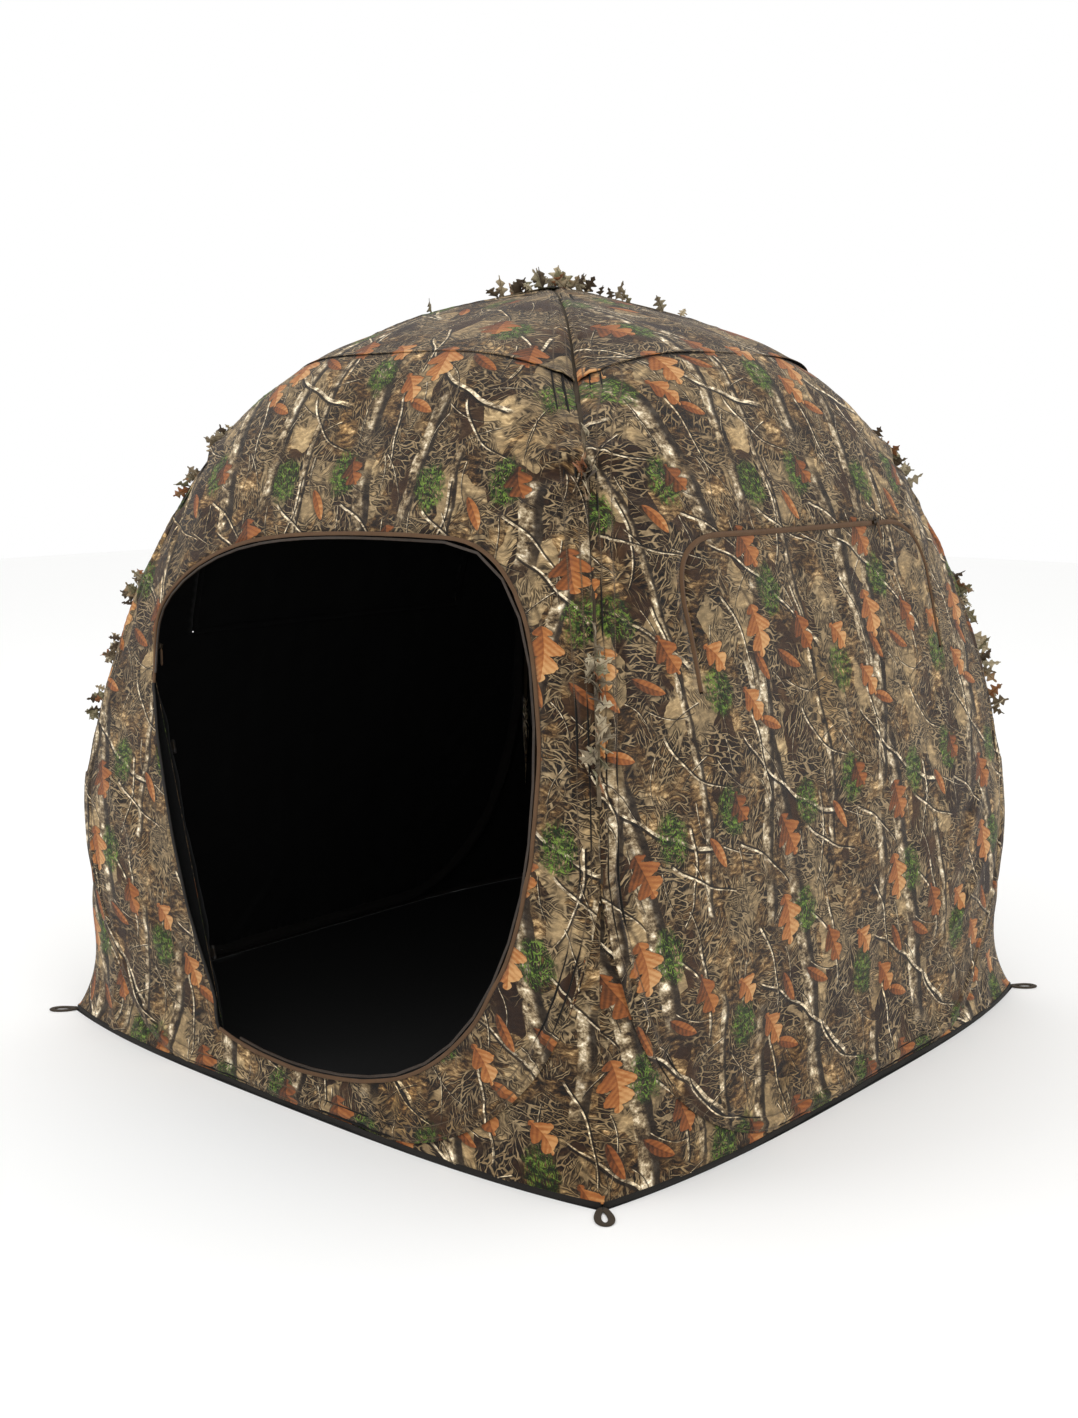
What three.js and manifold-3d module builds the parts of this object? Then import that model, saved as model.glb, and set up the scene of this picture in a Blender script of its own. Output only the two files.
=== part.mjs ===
// Pop-up ground blind: four spring-steel hoops stand a square fabric cabin with a domed roof.
// Millimetres, +Z up. The origin is on the ground under the apex, and the door is in the -Y wall.
// Every wall is modelled as the front (-Y) wall and turned about Z into its place.
import * as THREE from 'three';
import { mergeVertices } from 'three/addons/utils/BufferGeometryUtils.js';
import Module from 'manifold-3d';

const wasm = await Module();
wasm.setup();

// ---- Driving dimensions -------------------------------------------------------------------
const HEM_HEIGHT = 11;           // the fabric starts on top of the hem binding
// Profiles as [distance from the axis, height], from the hem to the apex. Entry 6 is the roof seam.
const CORNER_PROFILE = [
  [792, HEM_HEIGHT], [771, 140], [776, 400], [736, 720], [648, 1050],
  [535, 1305], [405, 1440], [250, 1572], [0, 1658],
];
const MIDDLE_PROFILE = [
  [850, HEM_HEIGHT], [828, 140], [822, 405], [782, 735], [704, 1085],
  [602, 1350], [489, 1500], [255, 1590], [0, 1658],
];
const ROOF_SEAM = 6 / 8;         // where the roof seam lies on both profiles, 0 hem to 1 apex
const APEX_END = 0.994;          // where the roof gores stop, just short of the apex
const WALL_FLATNESS = 4;         // power of the bulge: flat in the middle, quick at the corners
const APEX_FLATNESS = 2;

const FABRIC = 2;                // fabric thickness as built
const SEAM_GAP = 3;              // each panel stops this short of the corner plane

const HOOP_CORNER = { width: 470, top: 575 };   // how far a hoop's bottom corner reaches
const HOOP_INSET = 15;           // middle of the steel band, in from the fabric's outer face
const HOOP_FROM_SEAM = 30;       // middle of the steel band, along the wall from the corner
const HOOP_ABOVE_HEM = 16;
const HOOP_TOP = { seamEnd: 0.957, apex: 0.963 };   // where a hoop leaves the seam and crosses over
const BAND = { width: 10, thick: 1.5 };
const SLEEVE = { width: 17, across: 13, wall: 1.5 };
const GUSSET = { fold: 14, gap: 1.9, angleStep: 9 };   // tucked-in depth, gap to the walls, degrees
const FERRULE = { length: 40, wall: 1.1, gap: 0.35 };

const HEM_BINDING = { high: 10.4, thick: 3.3 };
const STAKE_LOOP = { length: 62, width: 44, thick: 3, wall: 11 };

const DOOR = {                   // [x, z] of the straight hinge seam and of the curved zip line
  sill: new THREE.Vector2(-210, 100),
  hingeTop: new THREE.Vector2(-500, 800),
};
const DOOR_BINDING = { wide: 5, thick: 6, fromEdge: 4 };
const DOOR_ZIP = { wide: 5, thick: 3, fromEdge: 10.5 };
const FLAP_ROLL = { radius: 34, across: 98, inward: 42, from: -20, to: 800 };

const WINDOW = { halfWidth: 455, sill: 868, top: 1145, straightTop: 320 };
const WINDOW_ZIP = { wide: 8, thick: 4, gap: 1.5 };
const SLIDER = { length: 20, width: 13, thick: 5, restX: 250, clear: 3 };   // clear of the zip's bulge
const PULL = { length: 38, width: 9, thick: 2 };

const LEAF = { short: 12, tall: 30, thick: 3, pitch: 26 };
const LEAF_LEAN = new THREE.Vector2(0.94, 0.34);   // the way a corner's teeth point, out and up
const LOWER_LEAVES = [700, 1012];    // heights that a corner's leaf strips cover
const UPPER_LEAVES = [1215, 1345];
const APEX_LEAVES = 340;             // how far the roof's leaf strip runs each way from the apex

const SIDES = ['front', 'right', 'back', 'left'];
const CORNERS = ['front_right', 'back_right', 'back_left', 'front_left'];
const WINDOW_SIDES = ['right', 'back', 'left'];

const QUARTER = Math.PI / 2;
const PAST_CORNER = 2000;        // an x beyond every corner, so that a height is read at the seam
const CUT = { from: -300, depth: 700 };   // how far a cutter runs through the front wall, in -y

// ---- Materials ----------------------------------------------------------------------------
const finish = (color, roughness, metalness = 0) => ({ color, roughness, metalness });
const FINISHES = {
  camouflage: finish(0x7a6a55, 0.9),
  hem: finish(0x1c1b1a, 0.85),
  binding: finish(0x6b4a34, 0.85),
  zip: finish(0x4a3627, 0.6),
  slider: finish(0x2b2723, 0.45, 0.6),
  pull: finish(0x5b4230, 0.8),
  steel: finish(0x6f7274, 0.35, 1),
  ferrule: finish(0x9a9c9e, 0.3, 1),
  sleeve: finish(0x26231f, 0.9),
  leaf: finish(0x9a7a50, 0.9),
  webbing: finish(0x3a332b, 0.85),
};

const blind = new THREE.Group();
blind.name = 'pop_up_ground_blind';

function add(name, geometry, finishName, quarterTurns = 0) {
  geometry.rotateZ(quarterTurns * QUARTER);
  geometry.computeVertexNormals();
  const mesh = new THREE.Mesh(geometry, new THREE.MeshStandardMaterial(FINISHES[finishName]));
  mesh.name = name;
  blind.add(mesh);
}

// ---- The cabin's surface ------------------------------------------------------------------
const profile = (points) => new THREE.SplineCurve(points.map(([d, z]) => new THREE.Vector2(d, z)));
const corner = profile(CORNER_PROFILE);
const middle = profile(MIDDLE_PROFILE);

// A point of the front wall's outer face: u runs -1 to 1 across it, t runs 0 at the hem to 1.
function facePoint(u, t) {
  const edge = corner.getPoint(t);
  const centre = middle.getPoint(t);
  const roofShare = Math.max(0, (t - ROOF_SEAM) / (1 - ROOF_SEAM));
  const power = THREE.MathUtils.lerp(WALL_FLATNESS, APEX_FLATNESS, roofShare);
  const swell = 1 - Math.abs(u) ** power;
  const out = edge.x + (centre.x - edge.x) * swell;
  return new THREE.Vector3(u * (edge.x - SEAM_GAP), -out, edge.y + (centre.y - edge.y) * swell);
}

function faceNormal(u, t) {
  const step = 0.004;
  const low = Math.max(t - step, 0);
  const high = Math.min(t + step, APEX_END);
  const across = facePoint(u + step, t).sub(facePoint(u - step, t));
  const up = facePoint(u, high).sub(facePoint(u, low));
  return across.cross(up).normalize();
}

// A point with its outward normal, moved in from the outer face.
function shellPoint(u, t, inset = 0) {
  const normal = faceNormal(u, t);
  return { point: facePoint(u, t).addScaledVector(normal, -inset), normal };
}

// How far up the profiles a height lies, at a distance x from the wall's middle.
function rise(x, z) {
  let low = 0;
  let high = 1;
  for (let i = 0; i < 30; i++) {
    const t = (low + high) / 2;
    if (facePoint(across(x, t), t).z < z) low = t;
    else high = t;
  }
  return (low + high) / 2;
}

function across(x, t) {
  const half = corner.getPoint(t).x - SEAM_GAP;
  return THREE.MathUtils.clamp(x / half, -1, 1);
}

function onWall(x, z, inset = 0) {
  const t = rise(x, z);
  return shellPoint(across(x, t), t, inset);
}

// ---- Solids -------------------------------------------------------------------------------
function volume(positions, index) {
  const [a, b, c] = [0, 1, 2].map(() => new THREE.Vector3());
  let sum = 0;
  for (let i = 0; i < index.length; i += 3) {
    a.fromArray(positions, index[i] * 3);
    b.fromArray(positions, index[i + 1] * 3);
    c.fromArray(positions, index[i + 2] * 3);
    sum += a.dot(b.cross(c));
  }
  return sum / 6;
}

// One closed solid through rings of points. An open run is capped at both ends.
function loft(rings, loop = false) {
  const size = rings[0].length;
  const positions = rings.flat().flatMap((p) => [p.x, p.y, p.z]);
  const index = [];
  const quad = (a, b, c, d) => index.push(a, b, c, a, c, d);
  const spans = loop ? rings.length : rings.length - 1;
  for (let i = 0; i < spans; i++) {
    const here = i * size;
    const next = ((i + 1) % rings.length) * size;
    for (let j = 0; j < size; j++) {
      const k = (j + 1) % size;
      if (!loop && j >= size / 2) {   // a sheet's inner face is split as its outer one is
        quad(here + k, next + k, next + j, here + j);
      } else {
        quad(here + j, here + k, next + k, next + j);
      }
    }
  }
  if (!loop) {
    const end = (rings.length - 1) * size;
    for (let j = 0; j < size / 2 - 1; j++) {
      quad(size - 1 - j, size - 2 - j, j + 1, j);
      quad(end + j, end + j + 1, end + size - 2 - j, end + size - 1 - j);
    }
  }
  if (volume(positions, index) < 0) index.reverse();
  const geometry = new THREE.BufferGeometry();
  geometry.setAttribute('position', new THREE.Float32BufferAttribute(positions, 3));
  geometry.setIndex(index);
  return geometry;
}

// A section of [sideways, outward] points carried along a path of points with normals.
function sweep(path, section, loop = false) {
  const count = path.length;
  const rings = path.map(({ point, normal }, i) => {
    const before = path[loop ? (i + count - 1) % count : Math.max(i - 1, 0)].point;
    const after = path[loop ? (i + 1) % count : Math.min(i + 1, count - 1)].point;
    const sideways = after.clone().sub(before).cross(normal).normalize();
    return section.map(([s, n]) => (
      point.clone().addScaledVector(sideways, s).addScaledVector(normal, n)
    ));
  });
  return loft(rings, loop);
}

const bar = (wide, low, high) => [
  [-wide / 2, low], [wide / 2, low], [wide / 2, high], [-wide / 2, high],
];

function toManifold(geometry) {
  const bare = geometry.clone();
  bare.deleteAttribute('normal');
  bare.deleteAttribute('uv');
  const merged = mergeVertices(bare, 1e-3);
  return new wasm.Manifold(new wasm.Mesh({
    numProp: 3,
    vertProperties: new Float32Array(merged.attributes.position.array),
    triVerts: new Uint32Array(merged.index.array),
  }));
}

function fromManifold(solid) {
  const mesh = solid.getMesh();
  const geometry = new THREE.BufferGeometry();
  geometry.setAttribute('position', new THREE.BufferAttribute(mesh.vertProperties, 3));
  geometry.setIndex(new THREE.BufferAttribute(mesh.triVerts, 1));
  return geometry;
}

// A cutter that runs through the front wall, from an outline of [x, z] points.
function cutter(outline) {
  const prism = new THREE.ExtrudeGeometry(new THREE.Shape(outline), {
    depth: CUT.depth, steps: 1, bevelEnabled: false,
  });
  prism.rotateX(QUARTER);
  prism.translate(0, CUT.from, 0);
  return toManifold(prism);
}

// Moves an open outline sideways: a positive distance is to the left of its run.
function offsetLine(points, distance) {
  return points.map((p, i) => {
    const before = points[Math.max(i - 1, 0)];
    const after = points[Math.min(i + 1, points.length - 1)];
    const run = after.clone().sub(before).normalize();
    return new THREE.Vector2(p.x - run.y * distance, p.y + run.x * distance);
  });
}

const followWall = (outline, inset = 0) => outline.map((p) => onWall(p.x, p.y, inset));

// ---- Outlines on the walls ----------------------------------------------------------------
function doorLine() {
  const line = new THREE.Path();
  line.moveTo(DOOR.sill.x, DOOR.sill.y);
  line.bezierCurveTo(-60, 68, 150, 62, 320, 125);
  line.bezierCurveTo(510, 205, 622, 400, 622, 620);
  line.bezierCurveTo(622, 860, 540, 1143, 320, 1145);
  line.bezierCurveTo(130, 1147, -60, 1145, -200, 1122);
  line.bezierCurveTo(-370, 1095, -520, 1010, -520, 930);
  line.bezierCurveTo(-520, 890, -505, 850, DOOR.hingeTop.x, DOOR.hingeTop.y);
  return line.getPoints(7);
}

function windowLine() {
  const { halfWidth, sill, top, straightTop } = WINDOW;
  const line = new THREE.Path();
  line.moveTo(-halfWidth, sill);
  line.lineTo(-halfWidth, top - 115);
  line.bezierCurveTo(-halfWidth, top - 40, -halfWidth + 50, top, -straightTop, top);
  line.lineTo(0, top);
  line.lineTo(straightTop, top);
  line.bezierCurveTo(halfWidth - 50, top, halfWidth, top - 40, halfWidth, top - 115);
  line.lineTo(halfWidth, sill);
  return line.getPoints(6);
}

function windowCutter(grow, bottom) {
  const edge = offsetLine(windowLine(), grow);
  edge[0].y = bottom;
  edge[edge.length - 1].y = bottom;
  return cutter(edge);
}

// The wall keeps what lies inside its hoop's rounded bottom corners.
function cornerCutter(sign) {
  const { width, top } = HOOP_CORNER;
  const half = corner.getPoint(rise(PAST_CORNER, top)).x;
  const outline = [];
  for (let angle = 0; angle <= 90; angle += GUSSET.angleStep) {
    outline.push(hoopCorner(angle, half, width, top - HEM_HEIGHT - GUSSET.gap));
  }
  const beyond = half + 120;
  outline.push(new THREE.Vector2(half - width, -20), new THREE.Vector2(beyond, -20));
  outline.push(new THREE.Vector2(beyond, top));
  outline.forEach((p) => { p.x *= sign; });
  return cutter(outline);
}

function hoopCorner(degrees, half, width, drop) {
  const angle = THREE.MathUtils.degToRad(degrees);
  return new THREE.Vector2(
    half - width * (1 - Math.cos(angle)),
    HOOP_CORNER.top - drop * Math.sin(angle),
  );
}

// ---- Fabric panels ------------------------------------------------------------------------
function panelShell(from, to, columns, rows) {
  const rings = [];
  for (let i = 0; i <= rows; i++) {
    const t = from + (to - from) * (i / rows);
    const us = Array.from({ length: columns + 1 }, (_, j) => Math.sin((2 * j / columns - 1) * QUARTER));
    const outside = us.map((u) => shellPoint(u, t).point);
    const inside = us.map((u) => shellPoint(u, t, FABRIC).point);
    rings.push([...outside, ...inside.reverse()]);
  }
  return loft(rings);
}

const wallShell = toManifold(panelShell(0, ROOF_SEAM - 0.001, 14, 12));
const trimmedWall = wallShell.subtract(cornerCutter(1)).subtract(cornerCutter(-1));

function walls() {
  const halfZip = WINDOW_ZIP.wide / 2 + WINDOW_ZIP.gap;
  const hinge = WINDOW.sill - 3;
  SIDES.forEach((side, turns) => {
    const opening = side === 'front' ? cutter(doorLine()) : windowCutter(halfZip, hinge);
    add(`wall_${side}`, fromManifold(trimmedWall.subtract(opening)), 'camouflage', turns);
  });
}

function roof() {
  SIDES.forEach((side, turns) => {
    add(`roof_gore_${side}`, panelShell(ROOF_SEAM + 0.001, APEX_END, 12, 5), 'camouflage', turns);
  });
}

// The gusset folds in behind the corner seam and comes back out to the stake loop.
function gussets() {
  const { width, top } = HOOP_CORNER;
  const half = corner.getPoint(rise(PAST_CORNER, top)).x;
  const { fold, gap, angleStep } = GUSSET;
  const shares = [0, 0.33, 0.67, 1];
  const rings = [];
  for (let angle = angleStep; angle <= 90; angle += angleStep) {
    const edge = hoopCorner(angle, half + gap, width + gap, top - HEM_HEIGHT);
    const cornerX = corner.getPoint(rise(PAST_CORNER, edge.y)).x;
    const steepest = 0.22 * (cornerX - edge.x);
    const tuck = Math.min(fold * Math.sin(THREE.MathUtils.degToRad(angle) * 2), steepest);
    const outside = shares.map((share) => {
      const { point } = onWall(THREE.MathUtils.lerp(edge.x, cornerX, share), edge.y);
      point.y += tuck * share * share;
      if (share === 1) point.x = -point.y;
      return point;
    });
    const inside = outside.map((p, i) => {
      const shift = shares[i] === 1 ? FABRIC : 0;
      return new THREE.Vector3(p.x - shift, p.y + FABRIC, p.z);
    });
    const mirrored = (p) => new THREE.Vector3(-p.y, -p.x, p.z);
    const outer = [...outside, ...outside.slice(0, -1).reverse().map(mirrored)];
    const inner = [...inside, ...inside.slice(0, -1).reverse().map(mirrored)];
    rings.push([...outer, ...inner.reverse()]);
  }
  CORNERS.forEach((name, turns) => add(`gusset_${name}`, loft(rings), 'camouflage', turns));
}

// ---- Hoops, their sleeves and ferrules ----------------------------------------------------
function hoopPath() {
  const { width, top } = HOOP_CORNER;
  const half = corner.getPoint(rise(PAST_CORNER, top)).x - HOOP_FROM_SEAM;
  const drop = top - HEM_HEIGHT - HOOP_ABOVE_HEM;
  const rightHalf = [75, 150, 225].map((x) => onWall(x, HEM_HEIGHT + HOOP_ABOVE_HEM, HOOP_INSET));
  for (let angle = 90; angle >= 0; angle -= 15) {
    const p = hoopCorner(angle, half, width - HOOP_FROM_SEAM, drop);
    rightHalf.push(onWall(p.x, p.y, HOOP_INSET));
  }
  const seamStart = rise(PAST_CORNER, top + 70);
  const { seamEnd, apex: apexRise } = HOOP_TOP;
  const seamSteps = 13;
  for (let i = 0; i <= seamSteps; i++) {
    const t = seamStart + (seamEnd - seamStart) * (i / seamSteps);
    const x = corner.getPoint(t).x - HOOP_FROM_SEAM;
    rightHalf.push(shellPoint(across(x, t), t, HOOP_INSET));
  }
  const apex = shellPoint(0, apexRise, HOOP_INSET);
  const mirror = (v) => new THREE.Vector3(-v.x, v.y, v.z);
  const leftHalf = rightHalf.map(({ point, normal }) => (
    { point: mirror(point), normal: mirror(normal) }
  ));
  return [...rightHalf, apex, ...leftHalf.reverse()];
}

function sleeveSection() {
  const { width, across: wide, wall } = SLEEVE;
  const side = wide / 2;
  const deep = width / 2;
  return [
    [-side, deep], [-side, -deep], [side, -deep], [side, deep],
    [side - wall, deep], [side - wall, -deep + wall],
    [-side + wall, -deep + wall], [-side + wall, deep],
  ];
}

function ferruleRings(path) {
  const halfBand = [BAND.thick / 2 + FERRULE.gap, BAND.width / 2 + FERRULE.gap];
  const halfOuter = halfBand.map((size) => size + FERRULE.wall);
  const start = path[path.length - 1];
  const end = path[0];
  const along = end.point.clone().sub(start.point).normalize();
  const centre = start.point.clone().add(end.point).multiplyScalar(0.5);
  const normal = start.normal.clone().add(end.normal).normalize();
  const sideways = along.clone().cross(normal).normalize();
  const signs = [[-1, -1], [1, -1], [1, 1], [-1, 1]];
  const ring = (distance, [s, n]) => signs.map(([i, j]) => (
    centre.clone().addScaledVector(along, distance)
      .addScaledVector(sideways, i * s).addScaledVector(normal, j * n)
  ));
  const reach = FERRULE.length / 2;
  return [
    ring(-reach, halfOuter), ring(reach, halfOuter), ring(reach, halfBand), ring(-reach, halfBand),
  ];
}

function hoops() {
  const path = hoopPath();
  SIDES.forEach((side, turns) => {
    const band = bar(BAND.thick, -BAND.width / 2, BAND.width / 2);
    add(`hoop_${side}`, sweep(path, band, true), 'steel', turns);
    add(`hoop_sleeve_${side}`, sweep(path, sleeveSection(), true), 'sleeve', turns);
    add(`hoop_ferrule_${side}`, loft(ferruleRings(path), true), 'ferrule', turns);
  });
}

// ---- Hem and stake loops ------------------------------------------------------------------
function hemBindings() {
  const { high, thick } = HEM_BINDING;
  const segments = 16;
  const path = [];
  for (let i = 0; i <= segments; i++) {
    const { point } = shellPoint(-1 + (2 * i) / segments, 0, FABRIC / 2);
    path.push({ point: point.setZ(high / 2), normal: new THREE.Vector3(0, -1, 0) });
  }
  const strip = sweep(path, bar(high, -thick / 2, thick / 2));
  SIDES.forEach((side, turns) => add(`hem_binding_${side}`, strip.clone(), 'hem', turns));
}

function stakeLoops() {
  const { length, width, thick, wall } = STAKE_LOOP;
  const half = width / 2;
  const outline = new THREE.Shape();
  outline.moveTo(0, -half);
  outline.lineTo(length - half, -half);
  outline.absarc(length - half, 0, half, -QUARTER, QUARTER);
  outline.lineTo(0, half);
  outline.closePath();
  const hole = new THREE.Path();
  const holeHalf = half - wall;
  hole.moveTo(wall, holeHalf);
  hole.lineTo(length - half, holeHalf);
  hole.absarc(length - half, 0, holeHalf, QUARTER, -QUARTER, true);
  hole.lineTo(wall, -holeHalf);
  hole.closePath();
  outline.holes.push(hole);
  const loop = new THREE.ExtrudeGeometry(outline, {
    depth: thick, bevelEnabled: false, curveSegments: 5,
  });
  loop.rotateZ(-QUARTER / 2);
  const root = CORNER_PROFILE[0][0] + 2.5;
  loop.translate(root, -root, 0);
  CORNERS.forEach((name, turns) => add(`stake_loop_${name}`, loop.clone(), 'webbing', turns));
}

// ---- Leaf-cut trim ------------------------------------------------------------------------
// The teeth stand out from a seam that is given as [run, rise] points in its own upright plane.
function leafStrip(seamPoints, outward) {
  const base = 2.5;
  const inner = seamPoints.map((p, i) => p.clone().addScaledVector(outward(i), base));
  const outer = seamPoints.map((p, i) => (
    p.clone().addScaledVector(outward(i), base + (i % 2 ? LEAF.tall : LEAF.short))
  ));
  const strip = new THREE.ExtrudeGeometry(new THREE.Shape([...inner, ...outer.reverse()]), {
    depth: LEAF.thick, bevelEnabled: false,
  });
  strip.translate(0, 0, -LEAF.thick / 2);
  strip.rotateX(QUARTER);
  return strip;
}

function cornerLeaves(name, [low, high]) {
  const count = Math.round((high - low) / LEAF.pitch);
  const seamPoints = [];
  for (let i = 0; i <= count; i++) {
    const z = low + (high - low) * (i / count);
    seamPoints.push(new THREE.Vector2(corner.getPoint(rise(PAST_CORNER, z)).x * Math.SQRT2, z));
  }
  const strip = leafStrip(seamPoints, () => LEAF_LEAN);
  strip.rotateZ(-QUARTER / 2);
  CORNERS.forEach((place, turns) => add(`${name}_${place}`, strip.clone(), 'leaf', turns));
}

function roofLeaves() {
  const count = Math.round(APEX_LEAVES / LEAF.pitch);
  const seamPoints = [];
  for (let i = -count; i <= count; i++) {
    const run = (APEX_LEAVES * i) / count;
    let t = 1;
    while (corner.getPoint(t).x * Math.SQRT2 < Math.abs(run)) t -= 0.0005;
    seamPoints.push(new THREE.Vector2(run, corner.getPoint(t).y));
  }
  const strip = leafStrip(seamPoints, () => new THREE.Vector2(0, 1));
  strip.rotateZ(QUARTER / 2);
  add('leaf_strip_roof', strip, 'leaf');
}

// ---- Small pieces that lie on a wall ------------------------------------------------------
// Places a piece modelled flat, with its top towards +Y and its face towards +Z, on a wall.
// It faces as the wall does at the distance facing from the wall's middle.
function placeOnWall(geometry, x, z, lift, facing = 0) {
  const { normal } = onWall(facing, z);
  const { point } = onWall(x, z);
  const up = normal.clone().cross(new THREE.Vector3(1, 0, 0)).normalize();
  const side = up.clone().cross(normal);
  const frame = new THREE.Matrix4().makeBasis(side, up, normal);
  frame.setPosition(point.addScaledVector(normal, lift));
  geometry.applyMatrix4(frame);
  return geometry;
}

function sliderSolid() {
  const { length, width, thick } = SLIDER;
  const body = new THREE.Shape();
  body.moveTo(-length / 2, -width * 0.28);
  body.lineTo(length * 0.1, -width / 2);
  body.lineTo(length / 2, -width / 2);
  body.lineTo(length / 2, width / 2);
  body.lineTo(length * 0.1, width / 2);
  body.lineTo(-length / 2, width * 0.28);
  body.closePath();
  const solid = new THREE.ExtrudeGeometry(body, { depth: thick, bevelEnabled: false });
  const bridge = new THREE.BoxGeometry(length * 0.5, 2.4, 4).translate(0, width * 0.3, thick + 1.8);
  return fromManifold(toManifold(solid).add(toManifold(bridge)));
}

function pullSolid() {
  const { length, width, thick } = PULL;
  const tab = new THREE.Shape();
  tab.moveTo(-width * 0.3, 0);
  tab.lineTo(width * 0.3, 0);
  tab.lineTo(width / 2, -length * 0.3);
  tab.lineTo(width / 2, -length + 3);
  tab.lineTo(width * 0.3, -length);
  tab.lineTo(-width * 0.3, -length);
  tab.lineTo(-width / 2, -length + 3);
  tab.lineTo(-width / 2, -length * 0.3);
  tab.closePath();
  return new THREE.ExtrudeGeometry(tab, { depth: thick, bevelEnabled: false });
}

// ---- Door ---------------------------------------------------------------------------------
function doorTrim() {
  const edge = doorLine();
  const { wide, thick, fromEdge } = DOOR_BINDING;
  const bindingLine = offsetLine(edge, fromEdge);
  add('door_binding', sweep(followWall(bindingLine), bar(wide, -thick / 2, thick / 2)), 'binding');
  const chainLine = offsetLine(edge, DOOR_ZIP.fromEdge).slice(1, -1);
  const chain = bar(DOOR_ZIP.wide, -DOOR_ZIP.thick / 2, DOOR_ZIP.thick / 2);
  add('door_zip', sweep(followWall(chainLine, FABRIC / 2), chain), 'zip');
}

// Axes of the hinge seam: along it, behind the wall towards the left corner, and inwards.
function doorHinge() {
  const inset = 12;
  const low = onWall(DOOR.sill.x, DOOR.sill.y, inset);
  const high = onWall(DOOR.hingeTop.x, DOOR.hingeTop.y, inset);
  const along = high.point.clone().sub(low.point).normalize();
  const inward = low.normal.clone().add(high.normal).normalize().negate();
  const sideways = along.clone().cross(inward).normalize();
  if (sideways.x > 0) sideways.negate();
  inward.addScaledVector(along, -inward.dot(along)).normalize();
  return { origin: low.point, along, sideways, inward };
}

function hingePoint(hinge, distance, sideways, inward) {
  return hinge.origin.clone().addScaledVector(hinge.along, distance)
    .addScaledVector(hinge.sideways, sideways).addScaledVector(hinge.inward, inward);
}

const ROLL_ARC = { from: 272, to: 496 };   // degrees round the roll, between its two tangents

function doorFlap() {
  const hinge = doorHinge();
  const { radius, across: wide, inward, from, to } = FLAP_ROLL;
  const stations = [[from, 0.62], [from + 60, 0.9], [170, 1], [400, 0.93], [640, 1],
    [to - 60, 0.88], [to, 0.58]];
  const arcSteps = 8;
  const rings = stations.map(([distance, share]) => {
    const ring = [hingePoint(hinge, distance, 5, 3)];
    for (let i = 0; i <= arcSteps; i++) {
      const degrees = ROLL_ARC.from + ((ROLL_ARC.to - ROLL_ARC.from) * i) / arcSteps;
      const angle = THREE.MathUtils.degToRad(degrees);
      const s = wide + radius * share * Math.cos(angle);
      ring.push(hingePoint(hinge, distance, s, inward + radius * share * Math.sin(angle)));
    }
    return ring;
  });
  add('door_flap', loft(rings), 'camouflage');
}

function doorTies() {
  const hinge = doorHinge();
  const { radius, across: wide, inward } = FLAP_ROLL;
  const strap = { wide: 20, thick: 2, steps: 10, from: ROLL_ARC.from + 12, to: ROLL_ARC.to - 22 };
  const toggle = { length: 34, radius: 5 };
  [['lower', 170], ['upper', 640]].forEach(([name, distance]) => {
    const path = [];
    for (let i = 0; i <= strap.steps; i++) {
      const angle = THREE.MathUtils.degToRad(
        strap.from + ((strap.to - strap.from) * i) / strap.steps,
      );
      const outward = hinge.sideways.clone().multiplyScalar(Math.cos(angle))
        .addScaledVector(hinge.inward, Math.sin(angle));
      const reach = radius + 1 + strap.thick / 2;
      const point = hingePoint(hinge, distance, wide, inward).addScaledVector(outward, reach);
      path.push({ point, normal: outward });
    }
    const section = bar(strap.wide, -strap.thick / 2, strap.thick / 2);
    const band = toManifold(sweep(path, section));
    const reach = radius + 1 + strap.thick;
    const stem = new THREE.BoxGeometry(6, 8, 4);
    const barrel = new THREE.CapsuleGeometry(toggle.radius, toggle.length - 2 * toggle.radius, 3, 8);
    const turn = new THREE.Quaternion().setFromUnitVectors(new THREE.Vector3(0, 1, 0), hinge.along);
    const seat = (solid, outward) => {
      const centre = hingePoint(hinge, distance, wide, inward + reach + outward);
      return toManifold(solid.applyQuaternion(turn).translate(centre.x, centre.y, centre.z));
    };
    const tie = band.add(seat(stem, 1)).add(seat(barrel, toggle.radius + 1));
    add(`door_tie_${name}`, fromManifold(tie), 'webbing');
  });
}

// The door's slider is parked at the top end of the zip, on the inside of the chain.
function doorSlider() {
  const place = offsetLine(doorLine(), DOOR_ZIP.fromEdge).at(-5);
  const lift = -DOOR_BINDING.thick / 2 - 1.5;
  const solid = sliderSolid().rotateY(Math.PI);
  add('door_slider', placeOnWall(solid, place.x, place.y, lift, place.x), 'slider');
  const { point, normal } = onWall(place.x, place.y - 2);
  const pivot = point.addScaledVector(normal, lift - SLIDER.thick - 3);
  const heading = Math.atan2(normal.x, -normal.y);
  const pull = pullSolid().rotateX(QUARTER).rotateZ(heading);
  add('door_pull', pull.translate(pivot.x, pivot.y, pivot.z), 'pull');
}

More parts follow.
